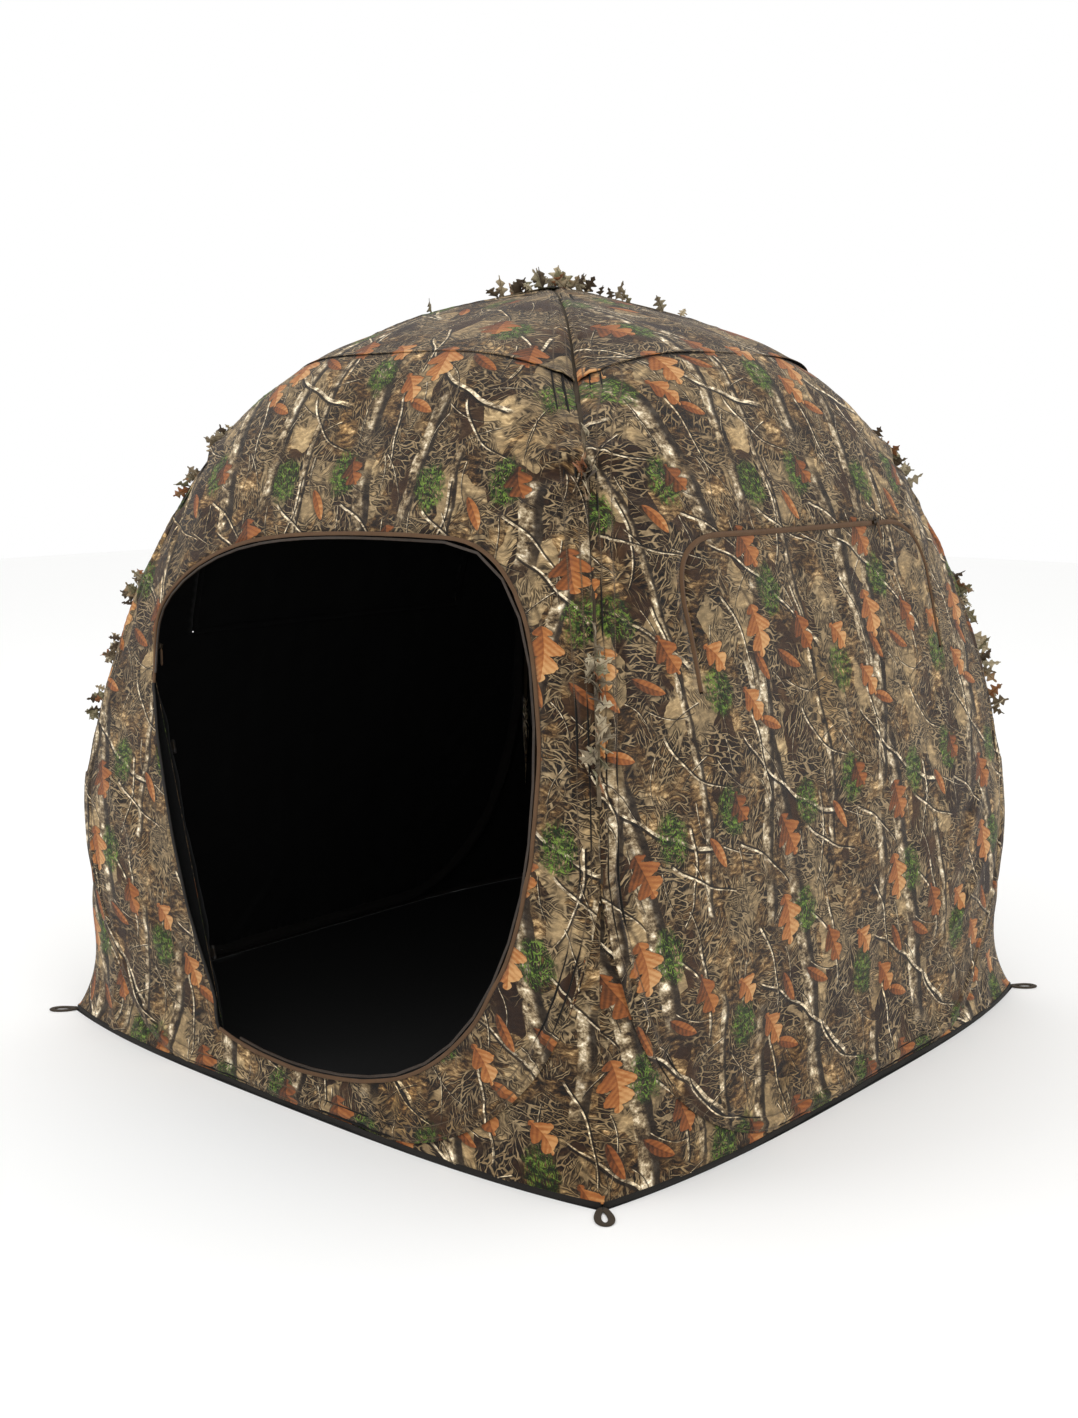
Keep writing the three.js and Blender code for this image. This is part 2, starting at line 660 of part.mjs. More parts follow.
// ---- Windows ------------------------------------------------------------------------------
function windows() {
  const line = windowLine();
  const { wide, thick, gap } = WINDOW_ZIP;
  const cover = wallShell.intersect(windowCutter(-wide / 2 - gap, WINDOW.sill + 3));
  const coverGeometry = fromManifold(cover);
  const chain = sweep(followWall(line, FABRIC / 2), bar(wide, -thick / 2, thick / 2));
  const sliderLift = thick / 2 + SLIDER.clear;
  const slider = placeOnWall(sliderSolid(), SLIDER.restX, WINDOW.top, sliderLift);
  const pullLift = sliderLift + SLIDER.thick + 0.5;
  const pull = placeOnWall(pullSolid(), SLIDER.restX, WINDOW.top + 1, pullLift);
  WINDOW_SIDES.forEach((side) => {
    const turns = SIDES.indexOf(side);
    add(`window_cover_${side}`, coverGeometry.clone(), 'camouflage', turns);
    add(`window_zip_${side}`, chain.clone(), 'binding', turns);
    add(`window_slider_${side}`, slider.clone(), 'slider', turns);
    add(`window_pull_${side}`, pull.clone(), 'pull', turns);
  });
}

walls();
roof();
gussets();
hoops();
hemBindings();
stakeLoops();
cornerLeaves('leaf_strip_lower', LOWER_LEAVES);
cornerLeaves('leaf_strip_upper', UPPER_LEAVES);
roofLeaves();
doorTrim();
doorFlap();
doorTies();
doorSlider();
windows();

export default blind;
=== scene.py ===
"""Pop-up ground blind: the fabric, its print and the small parts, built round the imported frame.

Metres, +Z up. Every wall is built as the front (-Y) wall and turned about Z into its place.
"""
import math

import bpy
import numpy as np
from mathutils import Matrix, Vector, geometry


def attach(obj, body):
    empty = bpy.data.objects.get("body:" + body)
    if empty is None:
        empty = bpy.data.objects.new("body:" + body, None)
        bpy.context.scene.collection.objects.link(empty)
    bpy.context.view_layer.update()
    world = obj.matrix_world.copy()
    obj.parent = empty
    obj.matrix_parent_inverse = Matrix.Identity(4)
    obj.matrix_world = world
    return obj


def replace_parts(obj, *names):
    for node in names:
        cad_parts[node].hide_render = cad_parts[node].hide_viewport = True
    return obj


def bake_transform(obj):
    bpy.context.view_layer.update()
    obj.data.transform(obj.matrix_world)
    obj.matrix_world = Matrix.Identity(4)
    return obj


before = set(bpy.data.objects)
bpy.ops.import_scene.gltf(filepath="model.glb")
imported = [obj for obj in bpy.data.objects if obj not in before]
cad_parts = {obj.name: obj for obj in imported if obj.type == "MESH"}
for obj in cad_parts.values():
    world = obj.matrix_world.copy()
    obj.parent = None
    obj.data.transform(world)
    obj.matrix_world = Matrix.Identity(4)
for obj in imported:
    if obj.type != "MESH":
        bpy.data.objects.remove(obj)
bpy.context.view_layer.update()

# ---- The cabin's surface, as in the CAD source ------------------------------------------------
MM = 0.001
HEM_HEIGHT = 0.011
CORNER_PROFILE = np.array([
    [792, 11], [771, 140], [776, 400], [736, 720], [648, 1050],
    [535, 1305], [405, 1440], [250, 1572], [0, 1658],
]) * MM
MIDDLE_PROFILE = np.array([
    [850, 11], [828, 140], [822, 405], [782, 735], [704, 1085],
    [602, 1350], [489, 1500], [255, 1590], [0, 1658],
]) * MM
ROOF_SEAM = 6 / 8
APEX_END = 0.994
SEAM_GAP = 0.003
HOOP_CORNER = {"width": 0.470, "top": 0.575}
HOOP_FROM_SEAM = 0.030
HOOP_ABOVE_HEM = 0.016
HOOP_INSET = 0.015
FABRIC = 0.0009
WINDOW = {"half": 0.455, "sill": 0.868, "top": 1.145, "straight": 0.320}
DOOR_SILL = (-0.210, 0.100)
DOOR_HINGE_TOP = (-0.500, 0.800)

SIDES = ["front", "right", "back", "left"]
CORNERS = ["front_right", "back_right", "back_left", "front_left"]


def spline(points, t):
    """A uniform Catmull-Rom curve through points, with its end points doubled."""
    last = len(points) - 1
    place = np.clip(t, 0, 1) * last
    i = np.minimum(place.astype(int), last - 1)
    w = (place - i)[..., None]
    p0, p1 = points[np.maximum(i - 1, 0)], points[i]
    p2, p3 = points[i + 1], points[np.minimum(i + 2, last)]
    v0, v1 = (p2 - p0) / 2, (p3 - p1) / 2
    return (2 * p1 - 2 * p2 + v0 + v1) * w**3 + (3 * (p2 - p1) - 2 * v0 - v1) * w**2 + v0 * w + p1


def face(u, t):
    """Points of the front wall's outer face: u is -1 to 1 across it, t is 0 at the hem to 1."""
    u, t = np.broadcast_arrays(np.asarray(u, float), np.asarray(t, float))
    edge, centre = spline(CORNER_PROFILE, t), spline(MIDDLE_PROFILE, t)
    power = 4 - 2 * np.maximum(0, (t - ROOF_SEAM) / (1 - ROOF_SEAM))
    swell = 1 - np.abs(u) ** power
    out = edge[..., 0] + (centre - edge)[..., 0] * swell
    return np.stack([u * (edge[..., 0] - SEAM_GAP), -out,
                     edge[..., 1] + (centre - edge)[..., 1] * swell], -1)


def face_normal(u, t, step=0.004):
    run = face(u + step, t) - face(u - step, t)
    climb = face(u, np.minimum(t + step, APEX_END)) - face(u, np.maximum(t - step, 0))
    normal = np.cross(run, climb)
    return normal / np.linalg.norm(normal, axis=-1, keepdims=True)


def across(x, t):
    return np.clip(x / (spline(CORNER_PROFILE, t)[..., 0] - SEAM_GAP), -1, 1)


def rise(x, z):
    """How far up the profiles a height lies, at a distance x from the wall's middle."""
    x, z = np.broadcast_arrays(np.asarray(x, float), np.asarray(z, float))
    low, high = np.zeros(z.shape), np.ones(z.shape)
    for _ in range(26):
        t = (low + high) / 2
        under = face(across(x, t), t)[..., 2] < z
        low, high = np.where(under, t, low), np.where(under, high, t)
    return (low + high) / 2


def on_wall(x, z, out=0.0):
    """Points of the front wall over [x, z], moved outwards, with their normals."""
    t = rise(x, z)
    u = across(np.asarray(x, float), t)
    normal = face_normal(u, t)
    return face(u, t) + normal * np.asarray(out)[..., None], normal


def corner_reach(z):
    return spline(CORNER_PROFILE, rise(np.full(np.shape(z), 2.0), z))[..., 0]


HOOP_HALF = float(corner_reach(np.array(HOOP_CORNER["top"])))


def arc_length(profile):
    t = np.linspace(0, 1, 400)
    steps = np.linalg.norm(np.diff(spline(profile, t), axis=0), axis=1)
    return t, np.concatenate([[0], np.cumsum(steps)])


CLIMB_T, CLIMB = arc_length(MIDDLE_PROFILE)


def cloth_uv(x, t):
    """Where a point lies on the printed cloth, in metres."""
    return np.stack([x, np.interp(t, CLIMB_T, CLIMB)], -1)


def turned(points, quarters):
    c, s = [(1, 0), (0, 1), (-1, 0), (0, -1)][quarters % 4]
    p = np.asarray(points, float)
    return np.stack([c * p[..., 0] - s * p[..., 1], s * p[..., 0] + c * p[..., 1], p[..., 2]], -1)


# ---- Outlines on the walls --------------------------------------------------------------------
def bezier(points, start, one, two, end, steps):
    t = np.linspace(0, 1, steps + 1)[1:, None]
    start, one, two, end = (np.array(p) * MM for p in (start, one, two, end))
    points.extend((1 - t)**3 * start + 3 * t * (1 - t)**2 * one + 3 * t**2 * (1 - t) * two + t**3 * end)


def door_line():
    steps = 26
    line = [np.array(DOOR_SILL)]
    bezier(line, (-210, 100), (-60, 68), (150, 62), (320, 125), steps)
    bezier(line, (320, 125), (510, 205), (622, 400), (622, 620), steps)
    bezier(line, (622, 620), (622, 860), (540, 1143), (320, 1145), steps)
    bezier(line, (320, 1145), (130, 1147), (-60, 1145), (-200, 1122), steps)
    bezier(line, (-200, 1122), (-370, 1095), (-520, 1010), (-520, 930), steps)
    bezier(line, (-520, 930), (-520, 890), (-505, 850), (-500, 800), steps // 2)
    return np.array(line)


def window_line(grow=0.0):
    steps = 12
    half, sill, top = (WINDOW[k] / MM for k in ("half", "sill", "top"))
    straight = WINDOW["straight"] / MM
    line = [np.array([-half, sill]) * MM, np.array([-half, top - 115]) * MM]
    bezier(line, (-half, top - 115), (-half, top - 40), (-half + 50, top), (-straight, top), steps)
    line += [np.array([x, WINDOW["top"]]) for x in np.linspace(-0.3, 0.3, 41)]
    line.append(np.array([straight, top]) * MM)
    bezier(line, (straight, top), (half - 50, top), (half, top - 40), (half, top - 115), steps)
    line.append(np.array([half, sill]) * MM)
    return offset_line(np.array(line), grow)


def offset_line(points, distance):
    """Moves an open outline to the left of its run."""
    run = np.gradient(points, axis=0)
    run /= np.linalg.norm(run, axis=1, keepdims=True)
    return points + np.stack([-run[:, 1], run[:, 0]], 1) * distance


def even(points, spacing, closed=False):
    """The same polyline with even steps."""
    points = np.asarray(points, float)
    if closed:
        points = np.vstack([points, points[:1]])
    length = np.concatenate([[0], np.cumsum(np.linalg.norm(np.diff(points, axis=0), axis=1))])
    count = max(2, int(round(length[-1] / spacing)))
    stops = np.linspace(0, length[-1], count + 1)
    made = np.stack([np.interp(stops, length, points[:, k]) for k in range(points.shape[1])], 1)
    return made[:-1] if closed else made


def hoop_arc(degrees, inset=0.0):
    """[x, z] of the hoop's bottom corner: 0 degrees is on the corner seam, 90 is at the hem."""
    angle = np.radians(degrees)
    width, top = HOOP_CORNER["width"], HOOP_CORNER["top"]
    drop = top - HEM_HEIGHT - inset * HOOP_ABOVE_HEM / HOOP_FROM_SEAM
    return np.stack([HOOP_HALF - inset - (width - inset) * (1 - np.cos(angle)),
                     top - drop * np.sin(angle)], -1)


def wall_outline():
    arc = hoop_arc(np.linspace(90, 0, 60))
    side_t = np.linspace(float(rise(2.0, HOOP_CORNER["top"] + 0.004)), ROOF_SEAM, 80)
    side = face(np.ones(80), side_t)[:, [0, 2]]
    crown = face(np.linspace(1, 0, 60), np.full(60, ROOF_SEAM))[1:, [0, 2]]
    right = np.vstack([[[0, HEM_HEIGHT]], arc, side, crown])
    left = right[1:-1][::-1] * [-1, 1]
    return np.vstack([right, left])


def inside(points, outline):
    """Which points lie inside a closed outline."""
    x, y = points[:, 0][:, None], points[:, 1][:, None]
    a, b = outline, np.roll(outline, -1, axis=0)
    straddles = (a[:, 1] > y) != (b[:, 1] > y)
    with np.errstate(divide="ignore", invalid="ignore"):
        cut = (b[:, 0] - a[:, 0]) * (y - a[:, 1]) / (b[:, 1] - a[:, 1]) + a[:, 0]
    return (straddles & (x < cut)).sum(1) % 2 == 1


def lattice(low, high, step):
    rows = np.arange(low[1], high[1], step * math.sqrt(3) / 2)
    xs = np.arange(low[0], high[0], step)
    return np.array([[x + (i % 2) * step / 2, z] for i, z in enumerate(rows) for x in xs])


def clear_of(points, outlines, distance):
    keep = np.ones(len(points), bool)
    for line in outlines:
        for start in range(0, len(points), 4000):
            block = points[start:start + 4000]
            near = ((block[:, None] - line[None]) ** 2).sum(2).min(1)
            keep[start:start + 4000] &= near > distance**2
    return points[keep]


def cut_panel(outline, holes=(), coarse=0.014, fine=0.0055):
    """Triangles of a flat cut with holes: fine cells along the hoop, coarse ones elsewhere."""
    outline = even(outline, 0.008, closed=True)
    holes = [even(h, 0.008, closed=True) for h in holes]
    low, high = outline.min(0), outline.max(0)
    wide = lattice(low, high, coarse)
    close = lattice(low, high, fine)
    wide = wide[np.abs(hoop_distance(wide[:, 0], wide[:, 1])) >= 0.026]
    close = close[np.abs(hoop_distance(close[:, 0], close[:, 1])) < 0.024]
    points = np.vstack([clear_of(wide, [outline, *holes], 0.007),
                        clear_of(close, [outline, *holes], 0.004)])
    points = points[inside(points, outline)]
    for hole in holes:
        points = points[~inside(points, hole)]
    loops, start = [], 0
    for loop in (outline, *holes):
        n = len(loop)
        loops += [(start + i, start + (i + 1) % n) for i in range(n)]
        start += n
    flat = np.vstack([outline, *holes, points])
    made = geometry.delaunay_2d_cdt([Vector(p) for p in flat], loops, [], 0, 1e-6)
    flat = np.array([tuple(v) for v in made[0]])
    faces = np.array([f for f in made[2] if len(f) == 3])
    centre = flat[faces].mean(1)
    keep = inside(centre, outline)
    for hole in holes:
        keep &= ~inside(centre, hole)
    return flat, faces[keep]


# ---- Relief: the hoop's ridge, stitching, puckers and creases ---------------------------------
def hoop_distance(x, z):
    """Distance from the hoop's line on the wall: positive towards the wall's middle."""
    x = np.abs(x)
    wide, deep = HOOP_CORNER["width"] - HOOP_FROM_SEAM, HOOP_CORNER["top"] - HEM_HEIGHT - HOOP_ABOVE_HEM
    upper = corner_reach(z) - HOOP_FROM_SEAM - x
    px = np.maximum(x - (HOOP_HALF - HOOP_CORNER["width"]), 1e-6) / wide
    pz = np.maximum(HOOP_CORNER["top"] - z, 1e-6) / deep
    rho = np.hypot(px, pz)
    scale = 1 / np.hypot(px / rho / wide, pz / rho / deep)
    lower = (1 - rho) * scale
    straight = z - HEM_HEIGHT - HOOP_ABOVE_HEM
    near_hem = np.where(x < HOOP_HALF - HOOP_CORNER["width"], straight, lower)
    return np.where(z >= HOOP_CORNER["top"], upper, near_hem)


def bell(distance, width):
    return np.exp(-(distance / width) ** 2)


def ripples(x, z, seed, wavelength, amplitude):
    """Smooth random undulation, as a sum of waves."""
    rng = np.random.default_rng(seed)
    total = 0
    for _ in range(7):
        angle, phase = rng.uniform(0, math.pi), rng.uniform(0, 2 * math.pi)
        k = 2 * math.pi / (wavelength * rng.uniform(0.6, 1.6))
        total = total + np.sin(k * (x * math.cos(angle) + z * math.sin(angle)) + phase)
    return total * amplitude / 2.6


def crease(x, z, start, end, width, height):
    """A tension crease from start to end that fades at both ends."""
    a, b = np.array(start), np.array(end)
    run = b - a
    length = np.linalg.norm(run)
    share = ((x - a[0]) * run[0] + (z - a[1]) * run[1]) / length**2
    side = ((x - a[0]) * run[1] - (z - a[1]) * run[0]) / length
    fade = np.clip(share, 0, 1) * np.clip(1 - share, 0, 1) * 4
    return height * fade * (bell(side, width) - 0.5 * bell(side - 1.8 * width, width))


CREASES = [  # start, end, width, height: from the hoops' shoulders to the openings, and off the hem
    ((0.575, 1.270), (0.36, 1.13), 0.012, 0.005), ((0.590, 1.235), (0.50, 1.00), 0.010, 0.004),
    ((0.60, 1.20), (0.62, 0.90), 0.010, 0.004), ((0.56, 1.285), (0.30, 1.25), 0.014, 0.004),
    ((0.70, 0.62), (0.40, 0.36), 0.018, 0.005), ((0.66, 0.42), (0.30, 0.16), 0.016, 0.005),
    ((0.73, 0.60), (0.64, 0.86), 0.012, 0.003), ((0.30, 0.03), (0.12, 0.22), 0.018, 0.004),
]


def wall_relief(x, z, seed):
    """How far the cloth stands out from the smooth face."""
    d = hoop_distance(x, z)
    seam = corner_reach(z) - np.abs(x)
    out = 0.0036 * bell(d, 0.0062) - 0.0011 * bell(np.abs(d) - 0.0115, 0.0032)
    out = out + ripples(x, z, seed, 0.34, 0.0026) + ripples(x, z, seed + 1, 0.11, 0.0009)
    near = np.exp(-np.maximum(np.abs(d) - 0.012, 0) / 0.030)
    out = out + near * ripples(x, z * 0.35, seed + 2, 0.042, 0.0011) * (np.abs(d) > 0.004)
    for start, end, width, height in CREASES:
        flip = 1 if seed % 2 else -1
        out = out + crease(x * flip, z, start, end, width, height)
        out = out + crease(-x * flip, z * 1.02 - 0.01, start, end, width * 1.2, height * 0.8)
    shoulder = np.exp(-(seam / 0.085) ** 2)
    out = out + shoulder * (0.010 * bell(z - 1.300, 0.017) - 0.006 * bell(z - 1.268, 0.013))
    out = out - 0.007 * np.clip(1 - seam / 0.010, 0, 1) * (z > HOOP_CORNER["top"])
    out = out - 0.0025 * bell(z - HEM_HEIGHT - 0.004, 0.006)
    return out


# ---- Meshes -----------------------------------------------------------------------------------
def piece(name, verts, faces, materials, uv=None, body="cabin", layers=None):
    """A mesh object from arrays of points and faces, riding on a body of the frame."""
    mesh = bpy.data.meshes.new(name)
    mesh.from_pydata(np.asarray(verts, float).reshape(-1, 3).tolist(), [],
                     [list(map(int, f)) for f in faces])
    for material in materials:
        mesh.materials.append(material)
    mesh.polygons.foreach_set("use_smooth", [True] * len(mesh.polygons))
    corner_vertex = np.zeros(len(mesh.loops), int)
    mesh.loops.foreach_get("vertex_index", corner_vertex)
    if uv is not None:
        mesh.uv_layers.new(name="cloth").data.foreach_set("uv", np.asarray(uv)[corner_vertex].ravel())
    for key, values in (layers or {}).items():
        layer = mesh.attributes.new(key, "FLOAT", "POINT")
        layer.data.foreach_set("value", np.asarray(values, np.float32))
    obj = bpy.data.objects.new(name, mesh)
    bpy.context.scene.collection.objects.link(obj)
    if body:
        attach(obj, body)
    return obj


def thicken(obj, thickness=FABRIC, inner=0, offset=-1.0):
    """Gives a sheet its thickness. inner is how many slots further on its inner face's material is."""
    mod = obj.modifiers.new("thickness", "SOLIDIFY")
    mod.thickness = thickness
    mod.offset = offset
    mod.material_offset = inner
    mod.use_even_offset = False
    return obj


def area_of(verts, faces):
    v = np.asarray(verts, float)
    total = 0.0
    for f in faces:
        total += np.linalg.norm(np.cross(v[f[1]] - v[f[0]], v[f[2]] - v[f[0]])) / 2
        if len(f) == 4:
            total += np.linalg.norm(np.cross(v[f[2]] - v[f[0]], v[f[3]] - v[f[0]])) / 2
    return float(total)


def grid_faces(rows, columns, wrap=False):
    """Quads of a grid of points in rows. wrap closes each row on itself."""
    faces = []
    for i in range(rows - 1):
        for j in range(columns if wrap else columns - 1):
            k = (j + 1) % columns
            faces.append((i * columns + j, i * columns + k, (i + 1) * columns + k, (i + 1) * columns + j))
    return faces


def sweep(points, normals, section, closed=False):
    """Carries a closed section of [sideways, outward] points along a path. Ends are capped."""
    p, n = np.asarray(points), np.asarray(normals)
    run = np.roll(p, -1, 0) - np.roll(p, 1, 0) if closed else np.gradient(p, axis=0)
    side = np.cross(run, n)
    side /= np.linalg.norm(side, axis=1, keepdims=True)
    section = np.asarray(section, float)
    verts = p[:, None] + side[:, None] * section[None, :, :1] + n[:, None] * section[None, :, 1:]
    count, size = len(p), len(section)
    verts = verts.reshape(-1, 3)
    faces = grid_faces(count, size, wrap=True)
    if closed:
        last = (count - 1) * size
        faces += [(last + j, last + (j + 1) % size, (j + 1) % size, j) for j in range(size)]
    else:
        faces += [tuple(range(size))[::-1], tuple((count - 1) * size + j for j in range(size))]
    length = np.concatenate([[0], np.cumsum(np.linalg.norm(np.diff(p, axis=0), axis=1))])
    girth = np.concatenate([[0], np.cumsum(np.linalg.norm(np.diff(section, axis=0), axis=1))])
    uv = np.stack(np.meshgrid(girth, length), -1).reshape(-1, 2)
    return verts, [f[::-1] for f in faces], uv


def outward(verts, faces):
    """Turns a closed body's faces to point out."""
    verts = np.asarray(verts).reshape(-1, 3)
    total = sum(verts[f[0]] @ np.cross(verts[f[i]], verts[f[i + 1]])
                for f in faces for i in range(1, len(f) - 1))
    return faces if total > 0 else [f[::-1] for f in faces]


def rounded(wide, thick):
    """A flat section with round edges."""
    r = thick / 2
    ends = []
    for sign, start in ((1, -90), (-1, 90)):
        for turn in range(0, 181, 45):
            a = math.radians(start + turn)
            ends.append((sign * (wide / 2 - r) + r * math.cos(a), r * math.sin(a)))
    return ends


def join(parts):
    """Several (verts, faces) as one."""
    verts, faces, start = [], [], 0
    for v, f in parts:
        v = np.asarray(v, float).reshape(-1, 3)
        verts.append(v)
        faces += [tuple(int(i) + start for i in face_) for face_ in f]
        start += len(v)
    return np.vstack(verts), faces


# ---- Materials --------------------------------------------------------------------------------
def rgb(red, green, blue):
    """A colour given in screen values of 0 to 255."""
    return tuple(((c / 255 + 0.055) / 1.055) ** 2.4 if c > 10 else c / 3294.6
                 for c in (red, green, blue)) + (1,)


class Shader:
    """Builds a material's nodes from short expressions."""

    def __init__(self, name, roughness=0.85, **sockets):
        self.material = bpy.data.materials.new(name)
        self.material.use_nodes = True
        self.tree = self.material.node_tree
        self.tree.nodes.clear()
        self.bsdf = self.add("ShaderNodeBsdfPrincipled")
        self.plug(self.bsdf.inputs["Roughness"], roughness)
        for key, value in sockets.items():
            self.bsdf.inputs[key.replace("_", " ")].default_value = value
        out = self.add("ShaderNodeOutputMaterial")
        self.tree.links.new(self.bsdf.outputs[0], out.inputs[0])

    def add(self, kind, **settings):
        node = self.tree.nodes.new(kind)
        for key, value in settings.items():
            setattr(node, key, value)
        return node

    def plug(self, socket, value):
        if isinstance(value, bpy.types.NodeSocket):
            self.tree.links.new(value, socket)
        else:
            socket.default_value = value

    def math(self, operation, *values, clamp=False):
        node = self.add("ShaderNodeMath", operation=operation, use_clamp=clamp)
        for socket, value in zip(node.inputs, values):
            self.plug(socket, value)
        return node.outputs[0]

    def sum(self, *terms):
        total = terms[0]
        for term in terms[1:]:
            total = self.math("ADD", total, term)
        return total

    def product(self, *factors):
        total = factors[0]
        for factor in factors[1:]:
            total = self.math("MULTIPLY", total, factor)
        return total

    def vector(self, x=0.0, y=0.0, z=0.0):
        node = self.add("ShaderNodeCombineXYZ")
        for socket, value in zip(node.inputs, (x, y, z)):
            self.plug(socket, value)
        return node.outputs[0]

    def step(self, value, low, high):
        """0 below low, 1 above high, smooth between. Runs the other way if low is the larger."""
        node = self.add("ShaderNodeMapRange", interpolation_type="SMOOTHSTEP")
        for socket, v in zip(node.inputs, (value, low, high, 0.0, 1.0)):
            self.plug(socket, v)
        return node.outputs[0]

    def noise(self, vector, scale=1.0, detail=3.0, roughness=0.55, distortion=0.0):
        node = self.add("ShaderNodeTexNoise")
        self.plug(node.inputs["Vector"], vector)
        for key, v in (("Scale", scale), ("Detail", detail), ("Roughness", roughness),
                       ("Distortion", distortion)):
            self.plug(node.inputs[key], v)
        return node.outputs["Fac"]

    def edges(self, vector):
        node = self.add("ShaderNodeTexVoronoi", feature="DISTANCE_TO_EDGE")
        self.plug(node.inputs["Vector"], vector)
        self.plug(node.inputs["Scale"], 1.0)
        return node.outputs["Distance"]

    def cells(self, vector):
        node = self.add("ShaderNodeTexVoronoi", feature="F1")
        self.plug(node.inputs["Vector"], vector)
        self.plug(node.inputs["Scale"], 1.0)
        split = self.add("ShaderNodeSeparateColor")
        self.plug(split.inputs[0], node.outputs["Color"])
        return node.outputs["Distance"], split.outputs[0], split.outputs[1]

    def ramp(self, value, stops):
        node = self.add("ShaderNodeValToRGB")
        self.plug(node.inputs[0], value)
        band = node.color_ramp
        while len(band.elements) < len(stops):
            band.elements.new(0.5)
        for element, (place, colour) in zip(band.elements, stops):
            element.position = place
            element.color = colour
        return node.outputs[0]

    def mix(self, share, a, b, blend="MIX"):
        node = self.add("ShaderNodeMix", data_type="RGBA", blend_type=blend)
        self.plug(node.inputs[0], share)
        self.plug(node.inputs[6], a)
        self.plug(node.inputs[7], b)
        return node.outputs[2]

    def cloth(self):
        """The point on the cloth as (across, up), in metres."""
        node = self.add("ShaderNodeUVMap", uv_map="cloth")
        split = self.add("ShaderNodeSeparateXYZ")
        self.plug(split.inputs[0], node.outputs[0])
        return split.outputs[0], split.outputs[1]

    def layer(self, name):
        return self.add("ShaderNodeAttribute", attribute_name=name).outputs["Fac"]

    def place(self):
        return self.add("ShaderNodeTexCoord").outputs["Object"]

    def scaled(self, vector, x, y, z):
        node = self.add("ShaderNodeVectorMath", operation="MULTIPLY")
        self.plug(node.inputs[0], vector)
        node.inputs[1].default_value = (x, y, z)
        return node.outputs[0]

    def bump(self, height, strength, distance):
        node = self.add("ShaderNodeBump")
        node.inputs["Strength"].default_value = strength
        node.inputs["Distance"].default_value = distance
        self.plug(node.inputs["Height"], height)
        self.plug(self.bsdf.inputs["Normal"], node.outputs[0])

    def done(self, colour):
        self.plug(self.bsdf.inputs["Base Color"], colour)
        return self.material


TILE = (0.42, 0.63)        # the print repeats after this much cloth, across and up


def scatter(sh, u, v, seed, cell, lean, spread, jitter=0.3):
    """One turned frame per cell of the print: (x along, y beside) in metres, and random values."""
    a, b = sh.math("DIVIDE", u, cell), sh.math("DIVIDE", v, cell)
    if seed % 2:
        b = sh.math("ADD", b, 0.5)
        a = sh.math("ADD", a, 0.37)
    ia, ib = sh.math("FLOOR", a), sh.math("FLOOR", b)
    wrap = [round(TILE[0] / cell), round(TILE[1] / cell)]
    spot = sh.vector(sh.math("FLOORED_MODULO", ia, float(wrap[0])),
                     sh.math("FLOORED_MODULO", ib, float(wrap[1])), seed * 7.3 + 0.5)
    white = sh.add("ShaderNodeTexWhiteNoise", noise_dimensions="3D")
    sh.plug(white.inputs["Vector"], spot)
    split = sh.add("ShaderNodeSeparateColor")
    sh.plug(split.inputs[0], white.outputs["Color"])
    r1, r2, r3 = split.outputs
    fa = sh.sum(a, sh.math("MULTIPLY", ia, -1.0), -0.5 - jitter / 2, sh.math("MULTIPLY", r2, jitter))
    fb = sh.sum(b, sh.math("MULTIPLY", ib, -1.0), -0.5 - jitter / 2, sh.math("MULTIPLY", r3, jitter))
    angle = sh.math("MULTIPLY_ADD", r1, spread, lean - spread / 2)
    c, s = sh.math("COSINE", angle), sh.math("SINE", angle)
    x = sh.product(sh.math("ADD", sh.product(fa, c), sh.product(fb, s)), cell)
    y = sh.product(sh.math("SUBTRACT", sh.product(fb, c), sh.product(fa, s)), cell)
    return x, y, white.outputs["Value"], r2, r3


def leaves(sh, u, v, seed, cell, length, width, lobes, chance, lean=-1.57, spread=2.6):
    """Leaves scattered over the print: their mask, a soft shadow round them, and a tone."""
    x, y, pick, r2, r3 = scatter(sh, u, v, seed, cell, lean, spread)
    half = sh.math("MULTIPLY_ADD", r2, length * 0.18, length * 0.38)
    xn = sh.math("DIVIDE", x, half)
    y = sh.sum(y, sh.product(xn, xn, sh.math("MULTIPLY_ADD", r3, 0.016, -0.008)))
    side = sh.math("ABSOLUTE", y)
    env = sh.math("POWER", sh.math("MAXIMUM", sh.math("SUBTRACT", 1.0, sh.product(xn, xn)), 0.0), 0.7)
    if lobes:
        skew = sh.math("MULTIPLY_ADD", side, -0.5 * lobes / width, sh.math("MULTIPLY", xn, lobes * 1.5))
        lobe = sh.math("POWER", sh.math("ABSOLUTE", sh.math("SINE", skew)), 0.8)
        ragged = sh.noise(sh.vector(x, y, r2), 160.0, 2.0)
        env = sh.product(env, sh.sum(sh.math("MULTIPLY_ADD", lobe, 0.72, 0.06),
                                     sh.math("MULTIPLY", ragged, 0.34)))
    wide = sh.math("MULTIPLY", env, width)
    gap = sh.math("SUBTRACT", wide, side)
    there = sh.math("GREATER_THAN", pick, 1 - chance)
    mask = sh.product(sh.step(gap, 0.0, 0.0012), there)
    shadow = sh.product(sh.step(gap, -0.009, 0.001), there)
    vein = sh.math("SINE", sh.math("MULTIPLY_ADD", side, -420.0, sh.math("MULTIPLY", x, 520.0)))
    rib = sh.step(side, 0.0006, 0.0018)
    fold = sh.step(y, -0.0015, 0.0015)
    tone = sh.sum(sh.math("MULTIPLY", vein, 0.06), sh.math("MULTIPLY", rib, 0.10),
                  sh.math("MULTIPLY", fold, 0.20),
                  sh.math("MULTIPLY", r3, 0.40), sh.math("MULTIPLY", xn, 0.16), -0.06)
    return mask, shadow, tone


